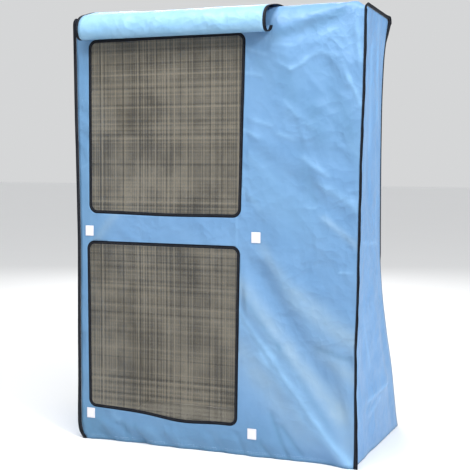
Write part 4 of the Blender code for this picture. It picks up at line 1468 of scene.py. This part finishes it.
def thread_finish(name, colour):
    """Sewing thread, twisted."""
    nodes = Nodes(name)
    place = nodes.add("TexCoord").outputs["Object"]
    values = {"Vector": place, "Scale": TWIST_SCALE, "Distortion": 1.0}
    twist = nodes.add("TexWave", values, bands_direction="DIAGONAL").outputs["Fac"]
    darker = tinted(colour, (TWIST_SHADE,) * 3)
    return nodes.done({"Base Color": nodes.mixed(twist, darker, colour), **THREAD_GLOSS})


def floor_finish(name):
    """A plain matt finish with a faint unevenness."""
    nodes = Nodes(name)
    cloudy = nodes.noise(FLOOR_CLOUDS, nodes.add("TexCoord").outputs["Object"])
    darker = tinted(FLOOR_COLOUR, (FLOOR_SHADE,) * 3)
    return nodes.done({"Base Color": nodes.mixed(cloudy, FLOOR_COLOUR, darker), "Roughness": FLOOR_ROUGH})


def paint_light_and_shade(made, painted_tones):
    """Stores the painted light shares at the object's points: painted reflection, painted highlight and
    painted shade.
    """
    places = np.empty(len(made.data.vertices) * 3)
    made.data.vertices.foreach_get("co", places)
    shares = painted_tones(places.reshape(-1, 3))
    layer = made.data.color_attributes.new("paint_light_and_shade", "FLOAT_COLOR", "POINT")
    layer.data.foreach_set("color", np.column_stack([shares, np.ones(len(shares))]).ravel())


def front_painted_light(places):
    """The painted light of the wrap: streaks of painted reflection, highlight and shade on the front, and
    painted shade on the left strip, in a band above the hem and along the hem's edge.
    """
    x, y, z = places.T
    over_top = (y > FRONT_Y) & (z > EDGE_Z - SHOULDER_ROOM)
    drop = EDGE_Z - z - np.where(over_top, y - FRONT_Y, 0.0)
    front = 1.0 - smooth_step(y, *FRONT_PAINT_ENDS)
    # Painted reflection and painted highlights, on the front only
    painted_reflection = streak_strength(PAINTED_REFLECTION_STREAKS, x, drop) * front
    light = streak_strength(PAINTED_HIGHLIGHT_STREAKS, x, drop) * front
    # Painted shade: streaks, the left strip, a band above the hem on the left, and the hem's edge
    deep = streak_strength(PAINTED_SHADE_STREAKS, x, drop)
    deep = deep + LEFT_STRIP_PAINTED_SHADE * (1.0 - smooth_step(x, *LEFT_STRIP_REACH))
    low_left = smooth_step(drop, *LOW_BAND_FROM) * (1.0 - smooth_step(x, *LOW_BAND_REACH))
    deep = (deep + LOW_BAND_PAINTED_SHADE * low_left) * front
    deep = deep + HEM_EDGE_PAINTED_SHADE * smooth_step(EDGE_Z - z, *HEM_EDGE_FROM)
    return np.stack([painted_reflection, light, np.minimum(deep, 1.0)], axis=-1)


def side_painted_light(places):
    """The painted light of a side panel: a painted highlight strip along its front seam, painted highlights
    and shade along its creases, and painted shade along the hem's edge.
    """
    behind, drop = places[:, 1] - FRONT_Y, EDGE_Z - places[:, 2]
    # Painted highlights, and painted shade with the hem's edge
    light = streak_strength(SIDE_PAINTED_HIGHLIGHTS, behind, drop)
    deep = streak_strength(SIDE_PAINTED_SHADE_STREAKS, behind, drop)
    deep = np.minimum(deep + HEM_EDGE_PAINTED_SHADE * smooth_step(drop, *HEM_EDGE_FROM), 1.0)
    return np.stack([np.zeros_like(light), light, deep], axis=-1)


def declare(piece, nodes=()):
    """A piece rides on the body, and stands for its nodes."""
    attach(piece, "root")
    if nodes:
        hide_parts(*nodes)
    return piece


def area_light(lamp):
    """A soft square light that shines at a point."""
    light = bpy.data.lights.new(lamp.name, "AREA")
    light.size = lamp.size
    light.energy = lamp.power
    light.color = lamp.colour
    held = bpy.data.objects.new(lamp.name, light)
    held.location = lamp.place
    held.rotation_euler = (Vector(lamp.aim) - Vector(lamp.place)).to_track_quat("-Z", "Y").to_euler()
    held.visible_camera = False
    bpy.context.scene.collection.objects.link(held)
    return held


# Finishes
cloth_front = coated_cloth("blue coated cloth, front", FRONT_BLUE)
# The sides' cloth is painted bluer, as light on them
cloth_side_painted_light = coated_cloth("blue coated cloth, sides, painted light", SIDE_BLUE_WITH_PAINTED_LIGHT, sideways=True)
# The flap's cloth is painted lighter, as light from above
cloth_flap_painted_lighter = coated_cloth("blue coated cloth, flap", FLAP_BLUE_PAINTED_LIGHTER)
cloth_inside = coated_cloth("blue coated cloth, inside", INSIDE_BLUE, coat=0.0)
tape_window = folded_tape("black tape, windows")
tape_seam = folded_tape("black tape, side seams", sideways=True)
tape_flap = folded_tape("black tape, flap")
net = see_through_net("dark net")
white = hook_and_loop("white hook-and-loop tape")
black_thread = thread_finish("black thread", BLACK_THREAD)
blue_thread = thread_finish("blue thread", BLUE_THREAD)
white_thread = thread_finish("white thread", WHITE_THREAD)

# The wrap, with its two windows cut out
wrap = cloth_sheet("wrap_cloth", wrap_rows(), 1.0, [cloth_front, cloth_inside])
cutters = [cut_window(wrap, window) for window in WINDOWS]
bake_shape(wrap)
for cutter in cutters:
    bpy.data.objects.remove(cutter, do_unlink=True)
paint_light_and_shade(wrap, front_painted_light)
declare(wrap, ["wrap_panel"])

# The side panels
side_right = cloth_sheet("side_cloth_right", side_rows(1), -1.0, [cloth_side_painted_light, cloth_inside])
side_left = cloth_sheet("side_cloth_left", side_rows(-1), -1.0, [cloth_side_painted_light, cloth_inside], turned=True)
for side, node in ((side_right, "side_panel_right"), (side_left, "side_panel_left")):
    bake_shape(side)
    paint_light_and_shade(side, side_painted_light)
    declare(side, [node])

# The side tapes
for sign, name in ((1, "right"), (-1, "left")):
    outer, inner = seam_tape_edges(sign)
    strip, normal = tape("seam_tape_" + name, outer, inner, tape_seam)
    declare(strip, ["seam_binding_" + name])
    sewn = stitches("seam_stitches_" + name, tape_stitch_lines(outer, inner, normal), black_thread)
    declare(sewn)

# The windows
for window in WINDOWS:
    outer = sheet_middle(window_outline(window, 0.0))
    inner = sheet_middle(window_outline(window, TAPE_WIDTH))
    ring, normal = tape("window_tape_" + window.name, outer, inner, tape_window, closed=True)
    declare(ring, ["window_binding_" + window.name])
    lines = tape_stitch_lines(outer, inner, normal, closed=True)
    sewn = stitches("window_stitches_" + window.name, lines, black_thread)
    declare(sewn)
    netting = window_net(window, net)
    declare(netting, ["window_mesh_" + window.name])

# The flap
line = flap_line()
flap = bake_shape(flap_cloth(line, [cloth_flap_painted_lighter, cloth_front]))
declare(flap, ["flap"])
outer, inner = flap_tape_edges(line)
strip, normal = tape("flap_tape", outer, inner, tape_flap)
declare(strip, ["flap_binding"])
sewn = stitches("flap_stitches", tape_stitch_lines(outer, inner, normal), black_thread)
declare(sewn)

# The fastener squares
for name, place in FASTENERS.items():
    square = fastener_square(name, place, white)
    declare(square, ["fastener_" + name])
sewn = stitches(
    "fastener_stitches", [fastener_stitch_line(place) for place in FASTENERS.values()], white_thread
)
declare(sewn)

# The hem's stitches
hem = stitches("hem_stitches", hem_stitch_lines(), blue_thread)
declare(hem)

# Each window's net, looked up by name
for window in WINDOWS:
    netting = bpy.data.objects["window_net_" + window.name]

# Floor, light and camera
floor = new_object(
    "floor",
    np.array([
        (-FLOOR_HALF, -FLOOR_HALF, HEM_Z - FLOOR_CLEAR), (FLOOR_HALF, -FLOOR_HALF, HEM_Z - FLOOR_CLEAR),
        (FLOOR_HALF, FLOOR_HALF, HEM_Z - FLOOR_CLEAR), (-FLOOR_HALF, FLOOR_HALF, HEM_Z - FLOOR_CLEAR),
    ]),
    [(0, 1, 2, 3)],
    [floor_finish("pale floor")],
)
world = bpy.data.worlds.new("pale studio")
world.use_nodes = True
backdrop = world.node_tree.nodes["Background"]
backdrop.inputs["Color"].default_value = (*WORLD_COLOUR, 1.0)
backdrop.inputs["Strength"].default_value = WORLD_STRENGTH
bpy.context.scene.world = world
for lamp in LAMPS:
    area_light(lamp)
camera = bpy.data.cameras.new("camera")
camera.lens = CAMERA_LENS
camera.sensor_width = CAMERA_SENSOR
held = bpy.data.objects.new("camera", camera)
held.location = CAMERA_PLACE
held.rotation_euler = [math.radians(angle) for angle in CAMERA_TURN]
bpy.context.scene.collection.objects.link(held)
bpy.context.scene.camera = held
bpy.context.scene.view_settings.view_transform = "Standard"
